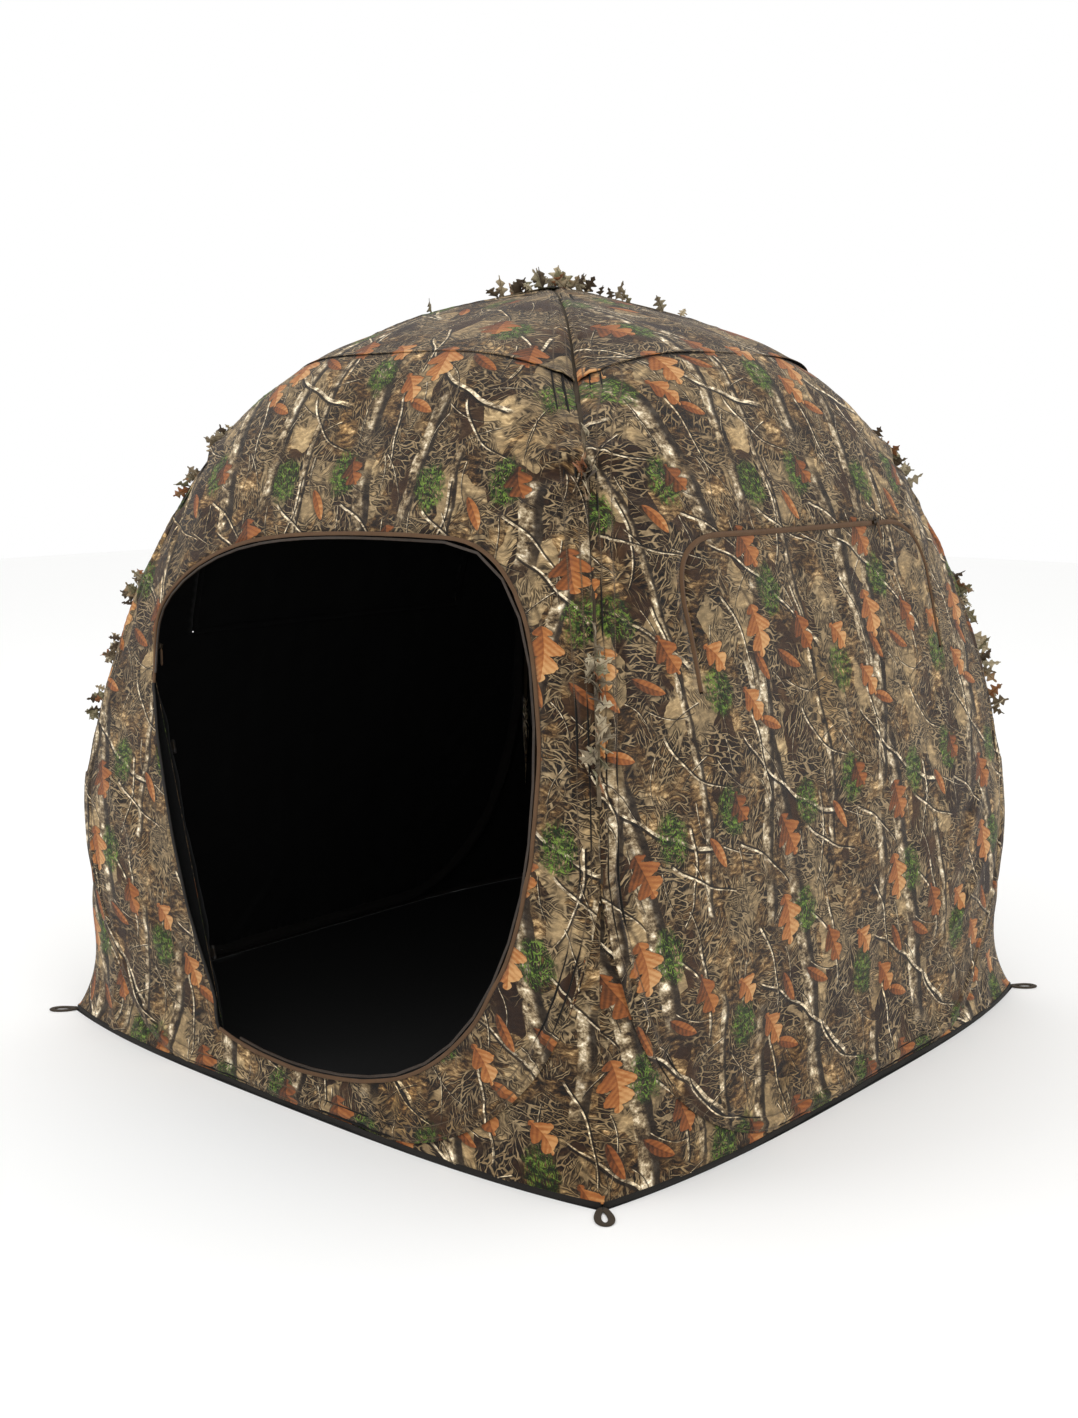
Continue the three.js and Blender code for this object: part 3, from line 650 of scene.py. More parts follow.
def strokes(sh, u, v, seed, cell, thick, bend, chance, lean, spread):
    """Thin curved twigs scattered over the print: their mask and their shaded edge."""
    x, y, pick, r2, r3 = scatter(sh, u, v, seed, cell, lean, spread, jitter=0.15)
    xn = sh.math("DIVIDE", x, cell * 0.46)
    y = sh.sum(y, sh.product(xn, xn, sh.math("MULTIPLY_ADD", r3, bend, -bend / 2)),
               sh.math("MULTIPLY", sh.math("SINE", sh.math("MULTIPLY", x, 64.0)), thick * 0.5))
    taper = sh.math("MULTIPLY_ADD", xn, 0.35 * thick, thick * 0.65)
    ends = sh.step(sh.math("ABSOLUTE", xn), 1.0, 0.9)
    there = sh.product(sh.math("GREATER_THAN", pick, 1 - chance), ends)
    gap = sh.math("SUBTRACT", taper, sh.math("ABSOLUTE", y))
    mask = sh.product(sh.step(gap, 0.0, 0.0008), there)
    under = sh.product(sh.step(sh.math("SUBTRACT", taper,
                                       sh.math("ABSOLUTE", sh.math("ADD", y, thick * 0.9))),
                               -0.002, 0.001), there)
    return mask, under


def trunk(sh, u, v, centre, lean, width, seed):
    """A leaning trunk that repeats across the print: its mask, bark value and side-to-side shade."""
    wobble = sh.noise(sh.vector(seed, sh.math("MULTIPLY", v, 3.0)), 1.0, 2.0)
    line = sh.sum(u, sh.math("MULTIPLY", v, lean), sh.math("MULTIPLY", wobble, 0.08), -centre)
    d = sh.math("SUBTRACT", sh.math("FLOORED_MODULO", line, TILE[0]), TILE[0] / 2)
    rough = sh.noise(sh.vector(sh.math("MULTIPLY", u, 60.0), sh.math("MULTIPLY", v, 25.0), seed), 1.0, 3.0)
    gap = sh.sum(width / 2 - 0.008, sh.math("MULTIPLY", sh.math("ABSOLUTE", d), -1.0),
                 sh.math("MULTIPLY", rough, 0.016))
    there = sh.step(sh.noise(sh.vector(seed * 3.1, sh.math("MULTIPLY", v, 1.6),
                                       sh.math("FLOOR", sh.math("DIVIDE", line, TILE[0])))), 0.45, 0.50)
    mask = sh.product(sh.step(gap, 0.0, 0.004), there)
    bark = sh.noise(sh.vector(sh.math("MULTIPLY", line, 44.0), sh.math("MULTIPLY", v, 52.0), seed),
                    1.0, 6.0, 0.72)
    return mask, bark, sh.step(d, -width / 2, width / 2)


def print_colour(sh, u, v):
    """The woodland print: ground litter, trunks, twigs, cedar sprigs and dead leaves."""
    flat = sh.vector(u, v)
    warp_u = sh.sum(u, sh.math("MULTIPLY", sh.noise(flat, 16.0, 3.0), 0.035))
    warp_v = sh.sum(v, sh.math("MULTIPLY", sh.noise(sh.vector(v, u, 5.0), 18.0, 3.0), 0.03))
    broad = sh.noise(sh.vector(warp_u, warp_v), 9.0, 3.0)
    fine = sh.noise(sh.vector(warp_u, sh.math("MULTIPLY", warp_v, 2.3)), 46.0, 5.0, 0.72)
    tone = sh.sum(sh.math("MULTIPLY", broad, 0.55), sh.math("MULTIPLY", fine, 0.75), -0.15)
    colour = sh.ramp(tone, [(0.34, rgb(42, 32, 22)), (0.43, rgb(76, 61, 43)), (0.50, rgb(112, 95, 72)),
                            (0.57, rgb(146, 129, 103)), (0.65, rgb(184, 168, 141)),
                            (0.76, rgb(218, 206, 184))])
    _, pick, pick2 = sh.cells(sh.vector(sh.math("MULTIPLY", warp_u, 13.0),
                                        sh.math("MULTIPLY", warp_v, 9.0)))
    flat_share = sh.math("GREATER_THAN", pick, 0.76)
    colour = sh.mix(sh.math("MULTIPLY", flat_share, 0.85), colour,
                    sh.mix(pick2, rgb(66, 48, 33), rgb(96, 76, 54)))
    pale = sh.math("LESS_THAN", pick, 0.22)
    colour = sh.mix(sh.math("MULTIPLY", pale, 0.6), colour,
                    sh.mix(fine, rgb(150, 136, 112), rgb(196, 184, 160)))

    for angle, fine_across, fine_along, seed in (
            (0.25, 95.0, 24.0, 1.0), (-0.75, 80.0, 20.0, 6.0), (1.35, 88.0, 22.0, 3.0)):
        c, s = math.cos(angle), math.sin(angle)
        a = sh.sum(sh.math("MULTIPLY", warp_u, c * fine_across),
                   sh.math("MULTIPLY", warp_v, s * fine_across))
        b = sh.sum(sh.math("MULTIPLY", warp_v, c * fine_along),
                   sh.math("MULTIPLY", warp_u, -s * fine_along))
        edge = sh.edges(sh.vector(a, b, seed))
        zone = sh.step(sh.noise(sh.vector(u, v, seed), 11.0, 2.0), 0.48, 0.58)
        dark = sh.product(sh.step(edge, 0.26, 0.08), zone, 0.75)
        light = sh.product(sh.step(edge, 0.075, 0.03), zone, 0.62)
        colour = sh.mix(dark, colour, rgb(40, 31, 22))
        colour = sh.mix(light, colour, sh.mix(fine, rgb(112, 96, 72), rgb(222, 208, 182)))

    for centre, lean, width, seed in (
            (0.10, 0.16, 0.052, 1.7), (0.30, -0.12, 0.038, 4.2), (0.21, 0.05, 0.024, 8.8)):
        mask, bark, shade = trunk(sh, u, v, centre, lean, width, seed)
        wood = sh.ramp(bark, [(0.36, rgb(58, 47, 37)), (0.45, rgb(118, 106, 88)),
                              (0.55, rgb(168, 158, 140)),
                              (0.68, rgb(216, 210, 198))])
        wood = sh.mix(sh.math("MULTIPLY", sh.step(shade, 0.42, 0.86), 0.85), wood, rgb(50, 39, 29))
        colour = sh.mix(sh.product(mask, 0.94), colour, wood)

    for seed, cell, thick, bend, chance, lean, spread in (
            (4, 0.42, 0.0050, 0.16, 1.0, -0.55, 0.4), (2, 0.21, 0.0034, 0.05, 0.6, 1.35, 1.0),
            (3, 0.14, 0.0014, 0.04, 0.7, 1.9, 2.2),
            (5, 0.105, 0.0013, 0.03, 0.7, 0.9, 2.6), (12, 0.21, 0.0030, 0.07, 0.8, 2.2, 1.2)):
        mask, under = strokes(sh, u, v, seed, cell, thick, bend, chance, lean, spread)
        colour = sh.mix(sh.math("MULTIPLY", under, 0.8), colour, rgb(46, 37, 29))
        colour = sh.mix(mask, colour,
                        sh.mix(sh.step(fine, 0.35, 0.65), rgb(112, 100, 82), rgb(208, 200, 184)))

    sprig_x, sprig_y, pick, r2, r3 = scatter(sh, u, v, 21, 0.21, 0.0, 0.6, jitter=0.25)
    reach = sh.math("SQRT", sh.sum(sh.product(sprig_x, sprig_x, 1.7), sh.product(sprig_y, sprig_y)))
    ragged = sh.sum(reach, sh.math("MULTIPLY", sh.noise(flat, 40.0, 4.0), 0.05))
    patch = sh.product(sh.step(ragged, 0.082, 0.060), sh.math("GREATER_THAN", pick, 0.62))
    needles = sh.edges(sh.vector(
        sh.sum(sh.math("MULTIPLY", warp_u, 190.0), sh.math("MULTIPLY", warp_v, 60.0)),
        sh.sum(sh.math("MULTIPLY", warp_v, 62.0), sh.math("MULTIPLY", warp_u, -30.0))))
    green = sh.mix(sh.step(fine, 0.4, 0.6), rgb(56, 78, 36), rgb(134, 150, 92))
    colour = sh.mix(sh.product(patch, sh.step(needles, 0.34, 0.18), 0.55), colour, rgb(50, 52, 30))
    colour = sh.mix(sh.product(patch, sh.step(needles, 0.13, 0.06), 0.9), colour, green)

    deeper = sh.add("ShaderNodeGamma")
    sh.plug(deeper.inputs["Color"], colour)
    deeper.inputs["Gamma"].default_value = 1.85
    lifted = sh.add("ShaderNodeHueSaturation")
    sh.plug(lifted.inputs["Color"], deeper.outputs["Color"])
    lifted.inputs["Saturation"].default_value = 1.0
    lifted.inputs["Value"].default_value = 2.9
    colour = lifted.outputs["Color"]

    for seed, cell, length, width, lobes, chance in (
            (8, 0.105, 0.084, 0.0120, 0, 0.30), (9, 0.14, 0.118, 0.044, 3.0, 0.42),
            (15, 0.105, 0.084, 0.031, 2.6, 0.30)):
        mask, shadow, tint = leaves(sh, u, v, seed, cell, length, width, lobes, chance,
                                    spread=1.5 if lobes else 2.6)
        leaf = sh.ramp(sh.math("ADD", tint, sh.math("MULTIPLY", fine, 0.55)),
                       [(0.22, rgb(46, 28, 18)), (0.42, rgb(98, 57, 31)), (0.60, rgb(142, 82, 41)),
                        (0.80, rgb(174, 112, 60)), (1.0, rgb(206, 158, 104))])
        colour = sh.mix(sh.math("MULTIPLY", shadow, 0.7), colour, rgb(50, 37, 25))
        colour = sh.mix(mask, colour, leaf)
    return colour


def weave(sh, u, v, pitch):
    """The height of a plain weave."""
    k = 2 * math.pi / pitch
    warp = sh.math("SINE", sh.math("MULTIPLY", u, k))
    weft = sh.math("SINE", sh.math("MULTIPLY", v, k))
    return sh.math("MULTIPLY_ADD", sh.product(warp, weft), 0.5, 0.5)


def seam_threads(sh, colour):
    """Paints shade into the stitched groove beside its seams and draws a broken line of thread along them.
    """
    seam, run = sh.layer("seam"), sh.layer("run")
    thread = sh.product(sh.step(sh.math("ABSOLUTE", sh.math("SUBTRACT", seam, 0.0115)), 0.0011, 0.0005),
                        sh.step(sh.math("FLOORED_MODULO", run, 0.0042), 0.0030, 0.0027))
    # painted shade: the band of the stitch groove, which wall_relief also sinks into the cloth, is
    # darkened
    groove = sh.step(sh.math("ABSOLUTE", sh.math("SUBTRACT", seam, 0.0115)), 0.0032, 0.0004)
    colour = sh.mix(sh.math("MULTIPLY", groove, 0.5), colour, rgb(56, 44, 33))
    return sh.mix(thread, colour, rgb(96, 80, 60))


def camouflage(name, threads=False):
    sh = Shader(name, 0.88, Sheen_Weight=0.12, Sheen_Roughness=0.5, Specular_IOR_Level=0.25)
    u, v = sh.cloth()
    colour = print_colour(sh, u, v)
    grime = sh.noise(sh.place(), 3.2, 4.0)
    colour = sh.mix(sh.step(grime, 0.50, 0.75), colour, rgb(138, 128, 110), "SOFT_LIGHT")
    if threads:
        colour = seam_threads(sh, colour)
    rough = sh.math("MULTIPLY_ADD", sh.noise(sh.place(), 40.0, 3.0), 0.16, 0.80)
    sh.plug(sh.bsdf.inputs["Roughness"], rough)
    crumple = sh.noise(sh.place(), 26.0, 4.0, 0.6)
    sh.bump(sh.sum(sh.math("MULTIPLY", crumple, 3.0), weave(sh, u, v, 0.0012)), 0.35, 0.0012)
    return sh.done(colour)


def dark_cloth(name, low, high, pitch=0.0016):
    """A plain dark tape or coating with a weave and a worn variation."""
    sh = Shader(name, 0.9, Sheen_Weight=0.05, Specular_IOR_Level=0.2)
    u, v = sh.cloth()
    wear = sh.noise(sh.place(), 30.0, 5.0, 0.65)
    ribs = weave(sh, u, v, pitch)
    sh.bump(sh.sum(ribs, wear), 0.4, 0.0006)
    return sh.done(sh.mix(sh.math("MULTIPLY_ADD", ribs, 0.35, sh.math("MULTIPLY", wear, 0.6)), low, high))


def metal(name, low, high, roughness, scratch=(30, 30, 300)):
    sh = Shader(name, roughness, Metallic=1.0)
    lines = sh.noise(sh.scaled(sh.place(), *scratch), 1.0, 4.0)
    spots = sh.noise(sh.place(), 60.0, 5.0, 0.7)
    sh.plug(sh.bsdf.inputs["Roughness"], sh.math("MULTIPLY_ADD", spots, 0.25, roughness - 0.1))
    sh.bump(lines, 0.15, 0.0003)
    return sh.done(sh.mix(sh.sum(sh.math("MULTIPLY", lines, 0.6), sh.math("MULTIPLY", spots, 0.4)),
                          low, high))


def zip_chain(name):
    """Moulded teeth across a tape."""
    sh = Shader(name, 0.45, Specular_IOR_Level=0.4)
    wear = sh.noise(sh.place(), 90.0, 3.0)
    split = sh.add("ShaderNodeSeparateXYZ")
    sh.plug(split.inputs[0], sh.place())
    run = sh.sum(*(split.outputs[k] for k in range(3)))
    teeth = sh.math("SINE", sh.math("MULTIPLY", run, 2 * math.pi / 0.0022))
    sh.bump(sh.sum(teeth, wear), 0.6, 0.0008)
    return sh.done(sh.mix(sh.math("MULTIPLY_ADD", teeth, 0.3, wear), rgb(24, 19, 15), rgb(74, 58, 44)))


def leaf_cloth(name):
    """Die-cut leaves: each leaf has its own tone, with the print's mottling and a darker rib."""
    sh = Shader(name, 0.9, Sheen_Weight=0.1, Specular_IOR_Level=0.2)
    u, v = sh.cloth()
    tint = sh.layer("tint")
    spots = sh.noise(sh.place(), 70.0, 5.0, 0.7)
    colour = sh.ramp(sh.sum(tint, sh.math("MULTIPLY_ADD", spots, 0.5, -0.25)), [
        (0.08, rgb(70, 58, 44)), (0.26, rgb(122, 108, 86)), (0.42, rgb(160, 148, 122)),
        (0.54, rgb(112, 108, 78)),
        (0.66, rgb(196, 182, 152)), (0.84, rgb(148, 128, 98)), (0.95, rgb(150, 96, 58))])
    rib = sh.step(sh.math("ABSOLUTE", u), 0.0012, 0.0004)
    colour = sh.mix(sh.math("MULTIPLY", rib, 0.6), colour, rgb(66, 52, 38))
    sh.bump(sh.sum(spots, weave(sh, u, v, 0.0012)), 0.35, 0.0008)
    return sh.done(colour)


PRINT = camouflage("camouflage_print")
PRINT_SEWN = camouflage("camouflage_print_sewn", threads=True)
INSIDE = dark_cloth("black_coating", rgb(2, 2, 2), rgb(9, 9, 9))
SLEEVE_TAPE = dark_cloth("sleeve_tape", rgb(10, 9, 8), rgb(34, 31, 28))
HEM_TAPE = dark_cloth("hem_tape", rgb(16, 15, 14), rgb(46, 42, 38))
SEAM_TAPE = dark_cloth("seam_tape", rgb(30, 25, 19), rgb(84, 71, 54))
WEBBING = dark_cloth("webbing", rgb(30, 25, 20), rgb(82, 70, 56), 0.0022)
BINDING = dark_cloth("brown_binding", rgb(68, 50, 34), rgb(116, 88, 64), 0.0014)
PULL_TAPE = dark_cloth("pull_tape", rgb(54, 40, 28), rgb(112, 86, 62), 0.0018)
TOGGLE = metal("toggle", rgb(20, 18, 16), rgb(40, 36, 32), 0.5)
CHAIN = zip_chain("zip_chain")
STEEL = metal("spring_steel", rgb(88, 92, 96), rgb(150, 154, 158), 0.35)
FERRULE = metal("ferrule_metal", rgb(130, 132, 134), rgb(196, 198, 200), 0.3)
SLIDER = metal("slider_metal", rgb(40, 34, 28), rgb(94, 82, 68), 0.42, scratch=(200, 200, 60))
LEAF_CLOTH = leaf_cloth("leaf_cloth")
TOGGLE.node_tree.nodes["Principled BSDF"].inputs["Metallic"].default_value = 0.0


# ---- Walls, window covers, gussets and roof ---------------------------------------------------
def wall_points(flat, seed, out=0.0):
    normal_out = wall_relief(flat[:, 0], flat[:, 1], seed) + out
    points, _ = on_wall(flat[:, 0], flat[:, 1], normal_out)
    uv = cloth_uv(flat[:, 0], rise(flat[:, 0], flat[:, 1]))
    seam = np.abs(hoop_distance(flat[:, 0], flat[:, 1]))
    run = np.where(flat[:, 1] > HOOP_CORNER["top"], flat[:, 1], flat[:, 0] + flat[:, 1])
    return points, uv, {"seam": seam, "run": run}


def walls():
    outline = wall_outline()
    door = door_line()
    hole = window_line(0.0055)
    hole[[0, -1], 1] = WINDOW["sill"] - 0.003
    cuts = {"front": cut_panel(outline, [door]), "window": cut_panel(outline, [hole])}
    made = {}
    for k, side in enumerate(SIDES):
        flat, faces = cuts["front" if side == "front" else "window"]
        points, uv, layers = wall_points(flat, 10 * k + 3)
        smooth_points, _ = on_wall(flat[:, 0], flat[:, 1])
        wall = piece(f"{side}_wall", turned(points, k), faces, [PRINT_SEWN, INSIDE], uv,
                     layers=layers)
        thicken(wall, inner=1)
        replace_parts(wall, f"wall_{side}")
        size = np.ptp(uv, axis=0)
        made[side] = (wall, [float(s) for s in size], area_of(smooth_points, faces))
    return made


def window_covers():
    outline = window_line(-0.0055)
    outline[[0, -1], 1] = WINDOW["sill"] - 0.0025
    flat, faces = cut_panel(outline)
    for side in ("right", "back", "left"):
        k = SIDES.index(side)
        points, uv, layers = wall_points(flat, 10 * k + 3)
        body = f"window_cover_{side}"
        cover = piece(f"{side}_window_cover", turned(points, k), faces, [PRINT, INSIDE], uv, body=None,
                      layers=layers)
        thicken(cover, inner=1)
        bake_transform(cover)
        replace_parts(cover, body)


def gusset_points():
    """The tucked corner below the hoops, as rings from the hoop's corner down to the hem."""
    degrees = np.linspace(1.2, 90, 64)
    share = np.linspace(0, 1, 26)
    rings = []
    for a in degrees:
        edge = hoop_arc(a, inset=-0.001)
        corner_x = float(corner_reach(edge[1]))
        x = edge[0] - 0.006 + (corner_x - edge[0] + 0.006) * share
        z = np.full_like(x, edge[1])
        points, _ = on_wall(x, z, -0.0022 * (share < 0.12))
        tuck = 0.013 * math.sin(2 * math.radians(a)) + 0.045 * math.exp(-((a - 13) / 13) ** 2)
        steep = 0.75 + 0.85 * min(max((a - 20) / 25, 0), 1)
        blade = tuck * share**steep
        blade = blade + ripples(x, z, 77, 0.09, 0.0016) * np.sin(share * math.pi)
        points[:, 1] += blade
        shift = -points[-1, 1] - points[-1, 0]
        points[:, 0] += shift * share**3
        mirror = np.stack([-points[:-1, 1], -points[:-1, 0], points[:-1, 2]], 1)[::-1]
        rings.append(np.vstack([points, mirror]))
    return np.array(rings)


def gussets():
    rings = gusset_points()
    rows, columns = rings.shape[:2]
    faces = [f[::-1] for f in grid_faces(rows, columns)]
    steps = np.linalg.norm(np.diff(rings, axis=1), axis=2)
    run = np.concatenate([np.zeros((rows, 1)), np.cumsum(steps, axis=1)], axis=1)
    uv = np.stack([run - run[:, -1:] / 2 + 0.13, rings[:, :, 2] + 0.2], -1).reshape(-1, 2)
    for k, name in enumerate(CORNERS):
        gusset = piece(f"{name}_gusset", turned(rings.reshape(-1, 3), k), faces, [PRINT, INSIDE], uv)
        thicken(gusset, inner=1)
        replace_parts(gusset, f"gusset_{name}")


def roof():
    rows, columns = 60, 80
    t = np.linspace(ROOF_SEAM - 0.006, APEX_END, rows)
    u = np.sin(np.linspace(-1, 1, columns) * math.pi / 2)
    uu, tt = np.meshgrid(u, t)
    x = uu * (spline(CORNER_PROFILE, tt)[..., 0] - SEAM_GAP)
    seam = spline(CORNER_PROFILE, tt)[..., 0] - np.abs(x)
    from_hem = (tt - t[0]) / (t[-1] - t[0])
    for k, side in enumerate(SIDES):
        out = ripples(x, tt * 1.1, 50 + k, 0.20, 0.0022) * np.clip(from_hem * 6, 0, 1)
        out = out + 0.0034 * bell(tt - t[0], 0.006) + 0.003 * np.exp(-((seam - 0.024) / 0.006) ** 2)
        out = out + ripples(x * 0.3, tt * 3.2, 60 + k, 0.05, 0.0012) * np.exp(-seam / 0.04)
        out = out - 0.006 * np.clip(1 - seam / 0.009, 0, 1)
        points = face(uu, tt) + face_normal(uu, tt) * out[..., None]
        flat_uv = np.stack([x, np.interp(tt, CLIMB_T, CLIMB)], -1)
        faces = grid_faces(rows, columns)
        gore = piece(f"{side}_roof_gore", turned(points.reshape(-1, 3), k), faces, [PRINT_SEWN, INSIDE],
                     flat_uv.reshape(-1, 2),
                      layers={"seam": np.abs(seam - 0.024).ravel(),
                              "run": np.interp(tt, CLIMB_T, CLIMB).ravel()})
        thicken(gore, inner=1)
        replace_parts(gore, f"roof_gore_{side}")


def corner_seams():
    """The felled seam that closes each corner, from the hoops' crossing to the apex."""
    t = np.linspace(float(rise(2.0, HOOP_CORNER["top"] - 0.02)), APEX_END, 150)
    reach = spline(CORNER_PROFILE, t)
    d = reach[:, 0] - 0.0075
    path = np.stack([d, -d, reach[:, 1] - 0.004 * (t > 0.7)], 1)
    normals = np.tile([math.sqrt(0.5), -math.sqrt(0.5), 0.0], (len(t), 1))
    normals[:, 2] = np.clip((t - 0.6) * 2, 0, 1.2)
    normals /= np.linalg.norm(normals, axis=1, keepdims=True)
    verts, faces, uv = sweep(path, normals, rounded(0.011, 0.003))
    for k, name in enumerate(CORNERS):
        piece(f"{name}_seam", turned(verts, k), faces, [SEAM_TAPE], uv)


# ---- Hems, bindings and zips ------------------------------------------------------------------
def hems():
    """A dark tape folded over the cloth's lower edge."""
    u = np.linspace(-1, 1, 140)
    points = face(u, np.zeros_like(u))
    wave = ripples(points[:, 0], 0 * u, 91, 0.16, 0.0012)
    points[:, 1] += 0.0005 + wave
    points[:, 2] = 0.0063
    normals = np.tile([0.0, -1.0, 0.0], (len(u), 1))
    section = rounded(0.0122, 0.0036)
    verts, faces, uv = sweep(points, normals, section)
    made = {}
    for k, side in enumerate(SIDES):
        hem = piece(f"{side}_hem", turned(verts, k), faces, [HEM_TAPE], uv)
        made[side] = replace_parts(hem, f"hem_binding_{side}")
    return made


def fold_section(wide, thick):
    """A tape folded over an edge: two round beads with a shallow groove between them."""
    half, r = wide / 2, thick / 2
    return [(-half, -r * 0.5), (-half * 0.6, -r), (half * 0.6, -r), (half, -r * 0.5), (half, r * 0.5),
            (half * 0.6, r), (half * 0.15, r * 0.82), (-half * 0.25, r * 0.86),
            (-half * 0.6, r), (-half, r * 0.5)]


def follow(line, out, seed=0):
    """Path points over the front wall's relief along [x, z] points, with normals."""
    line = np.asarray(line)
    return on_wall(line[:, 0], line[:, 1], out + wall_relief(line[:, 0], line[:, 1], seed))


def door_trim():
    line = even(door_line(), 0.007)
    points, normals = follow(offset_line(line, 0.0022), 0.0004, 3)
    verts, faces, uv = sweep(points, normals, fold_section(0.0078, 0.0052))
    binding = piece("door_edge_binding", verts, faces, [BINDING], uv)
    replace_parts(binding, "door_binding")
    hinge = even(np.array([DOOR_HINGE_TOP, DOOR_SILL]), 0.010)
    points, normals = follow(hinge, 0.0012, 3)
    verts, faces, uv = sweep(points, normals, rounded(0.009, 0.0022))
    piece("door_hinge_seam", verts, faces, [HEM_TAPE], uv)


def window_zips():
    """A tape that covers the zip, with the coil standing a little proud along its middle."""
    coil = [(-0.0055, -0.0008), (0.0055, -0.0008), (0.0055, 0.0005), (0.0030, 0.0009), (0.0020, 0.0022),
            (0.0008, 0.0028), (-0.0008, 0.0028), (-0.0020, 0.0022), (-0.0030, 0.0009), (-0.0055, 0.0005)]
    line = even(window_line(), 0.008)
    for side in ("right", "back", "left"):
        k = SIDES.index(side)
        points, normals = follow(line, 0.0006, 10 * k + 3)
        verts, faces, uv = sweep(points, normals, coil)
        zip_tape = piece(f"{side}_window_zip", turned(verts, k), faces, [BINDING, INSIDE], uv)
        for polygon in zip_tape.data.polygons:
            centre, normal = polygon.center, polygon.normal
            if normal.x * centre.x + normal.y * centre.y < -0.4 * math.hypot(centre.x, centre.y):
                polygon.material_index = 1
        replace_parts(zip_tape, f"window_zip_{side}")


def window_facings():
    """A dark facing behind each cover's edge, which keeps light out along the zip and the hinge."""
    outline = window_line()
    loop = even(np.vstack([outline, outline[:1]]), 0.010)[:-1]
    for side in ("right", "back", "left"):
        k = SIDES.index(side)
        points, normals = follow(loop, -0.0050, 10 * k + 3)
        verts, faces, uv = sweep(points, normals, rounded(0.013, 0.0012), closed=True)
        piece(f"{side}_window_facing", turned(verts, k), faces, [INSIDE], uv, body=f"window_cover_{side}")


# ---- Hoop sleeves -----------------------------------------------------------------------------
def hoop_line():
    """The front hoop's closed path, behind the wall."""
    top = HOOP_CORNER["top"]
    xs = np.linspace(0.01, HOOP_HALF - HOOP_CORNER["width"] - 0.002, 16)
    bottom = np.stack([xs, np.full_like(xs, HEM_HEIGHT + HOOP_ABOVE_HEM)], 1)
    bend = hoop_arc(np.linspace(90, 0, 40), inset=HOOP_FROM_SEAM)
    lower, lower_n = on_wall(*np.vstack([bottom, bend]).T, -HOOP_INSET)
    t = np.linspace(float(rise(2.0, top + 0.02)), 0.957, 90)
    x = spline(CORNER_PROFILE, t)[:, 0] - HOOP_FROM_SEAM
    normal = face_normal(across(x, t), t)
    upper = face(across(x, t), t) - normal * HOOP_INSET
    points, normals = np.vstack([lower, upper]), np.vstack([lower_n, normal])
    flip = np.array([-1, 1, 1])
    return np.vstack([points, (points * flip)[::-1]]), np.vstack([normals, (normals * flip)[::-1]])


def sleeves():
    """Tape channels sewn behind the walls: each arches in over its steel band."""
    profile = [(-0.0125, 0.0125), (-0.0095, 0.0100), (-0.0065, 0.0020), (-0.0055, -0.0060),
               (-0.0030, -0.0085),
               (0.0030, -0.0085), (0.0055, -0.0060), (0.0065, 0.0020), (0.0095, 0.0100), (0.0125, 0.0125)]
    inner = [(s * 0.90, n + 0.0011) for s, n in profile[::-1]]
    points, normals = hoop_line()
    verts, faces, uv = sweep(points, normals, profile + inner, closed=True)
    for k, side in enumerate(SIDES):
        sleeve = piece(f"{side}_sleeve", turned(verts, k), faces, [SLEEVE_TAPE], uv)
        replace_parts(sleeve, f"hoop_sleeve_{side}")


# ---- Leaf-cut trim ----------------------------------------------------------------------------
def leaf_outline(rng):
    """Half-widths of a ragged die-cut leaf along its length, 0 to 1."""
    along = np.linspace(0, 1, 15)
    lobes = 0.62 + 0.38 * np.cos(along * math.pi * rng.uniform(5.0, 7.5) + rng.uniform(0, 2))
    return along, np.maximum(np.sin(along**0.8 * math.pi) * lobes * rng.uniform(0.32, 0.48), 0.03)


def leaf_card(root, tip_way, flat_way, size, rng):
    """One leaf: a strip of quads along its rib, curled and twisted."""
    along, half = leaf_outline(rng)
    tip_way = tip_way / np.linalg.norm(tip_way)
    side = np.cross(flat_way, tip_way)
    side /= np.linalg.norm(side)
    lift = np.cross(tip_way, side)
    curl, twist = rng.uniform(-0.35, 0.35), rng.uniform(-0.9, 0.9)
    verts, uv = [], []
    for a, h in zip(along, half):
        c, s = math.cos(twist * a), math.sin(twist * a)
        beside = side * c + lift * s
        rib = root + tip_way * a * size + lift * curl * a * a * size
        for share in (-1, -0.45, 0, 0.45, 1):
            cup = lift * (abs(share) ** 2) * h * size * 0.35
            verts.append(rib + beside * share * h * size + cup)
            uv.append((share * h * size, a * size))
    return np.array(verts), grid_faces(len(along), 5), np.array(uv)


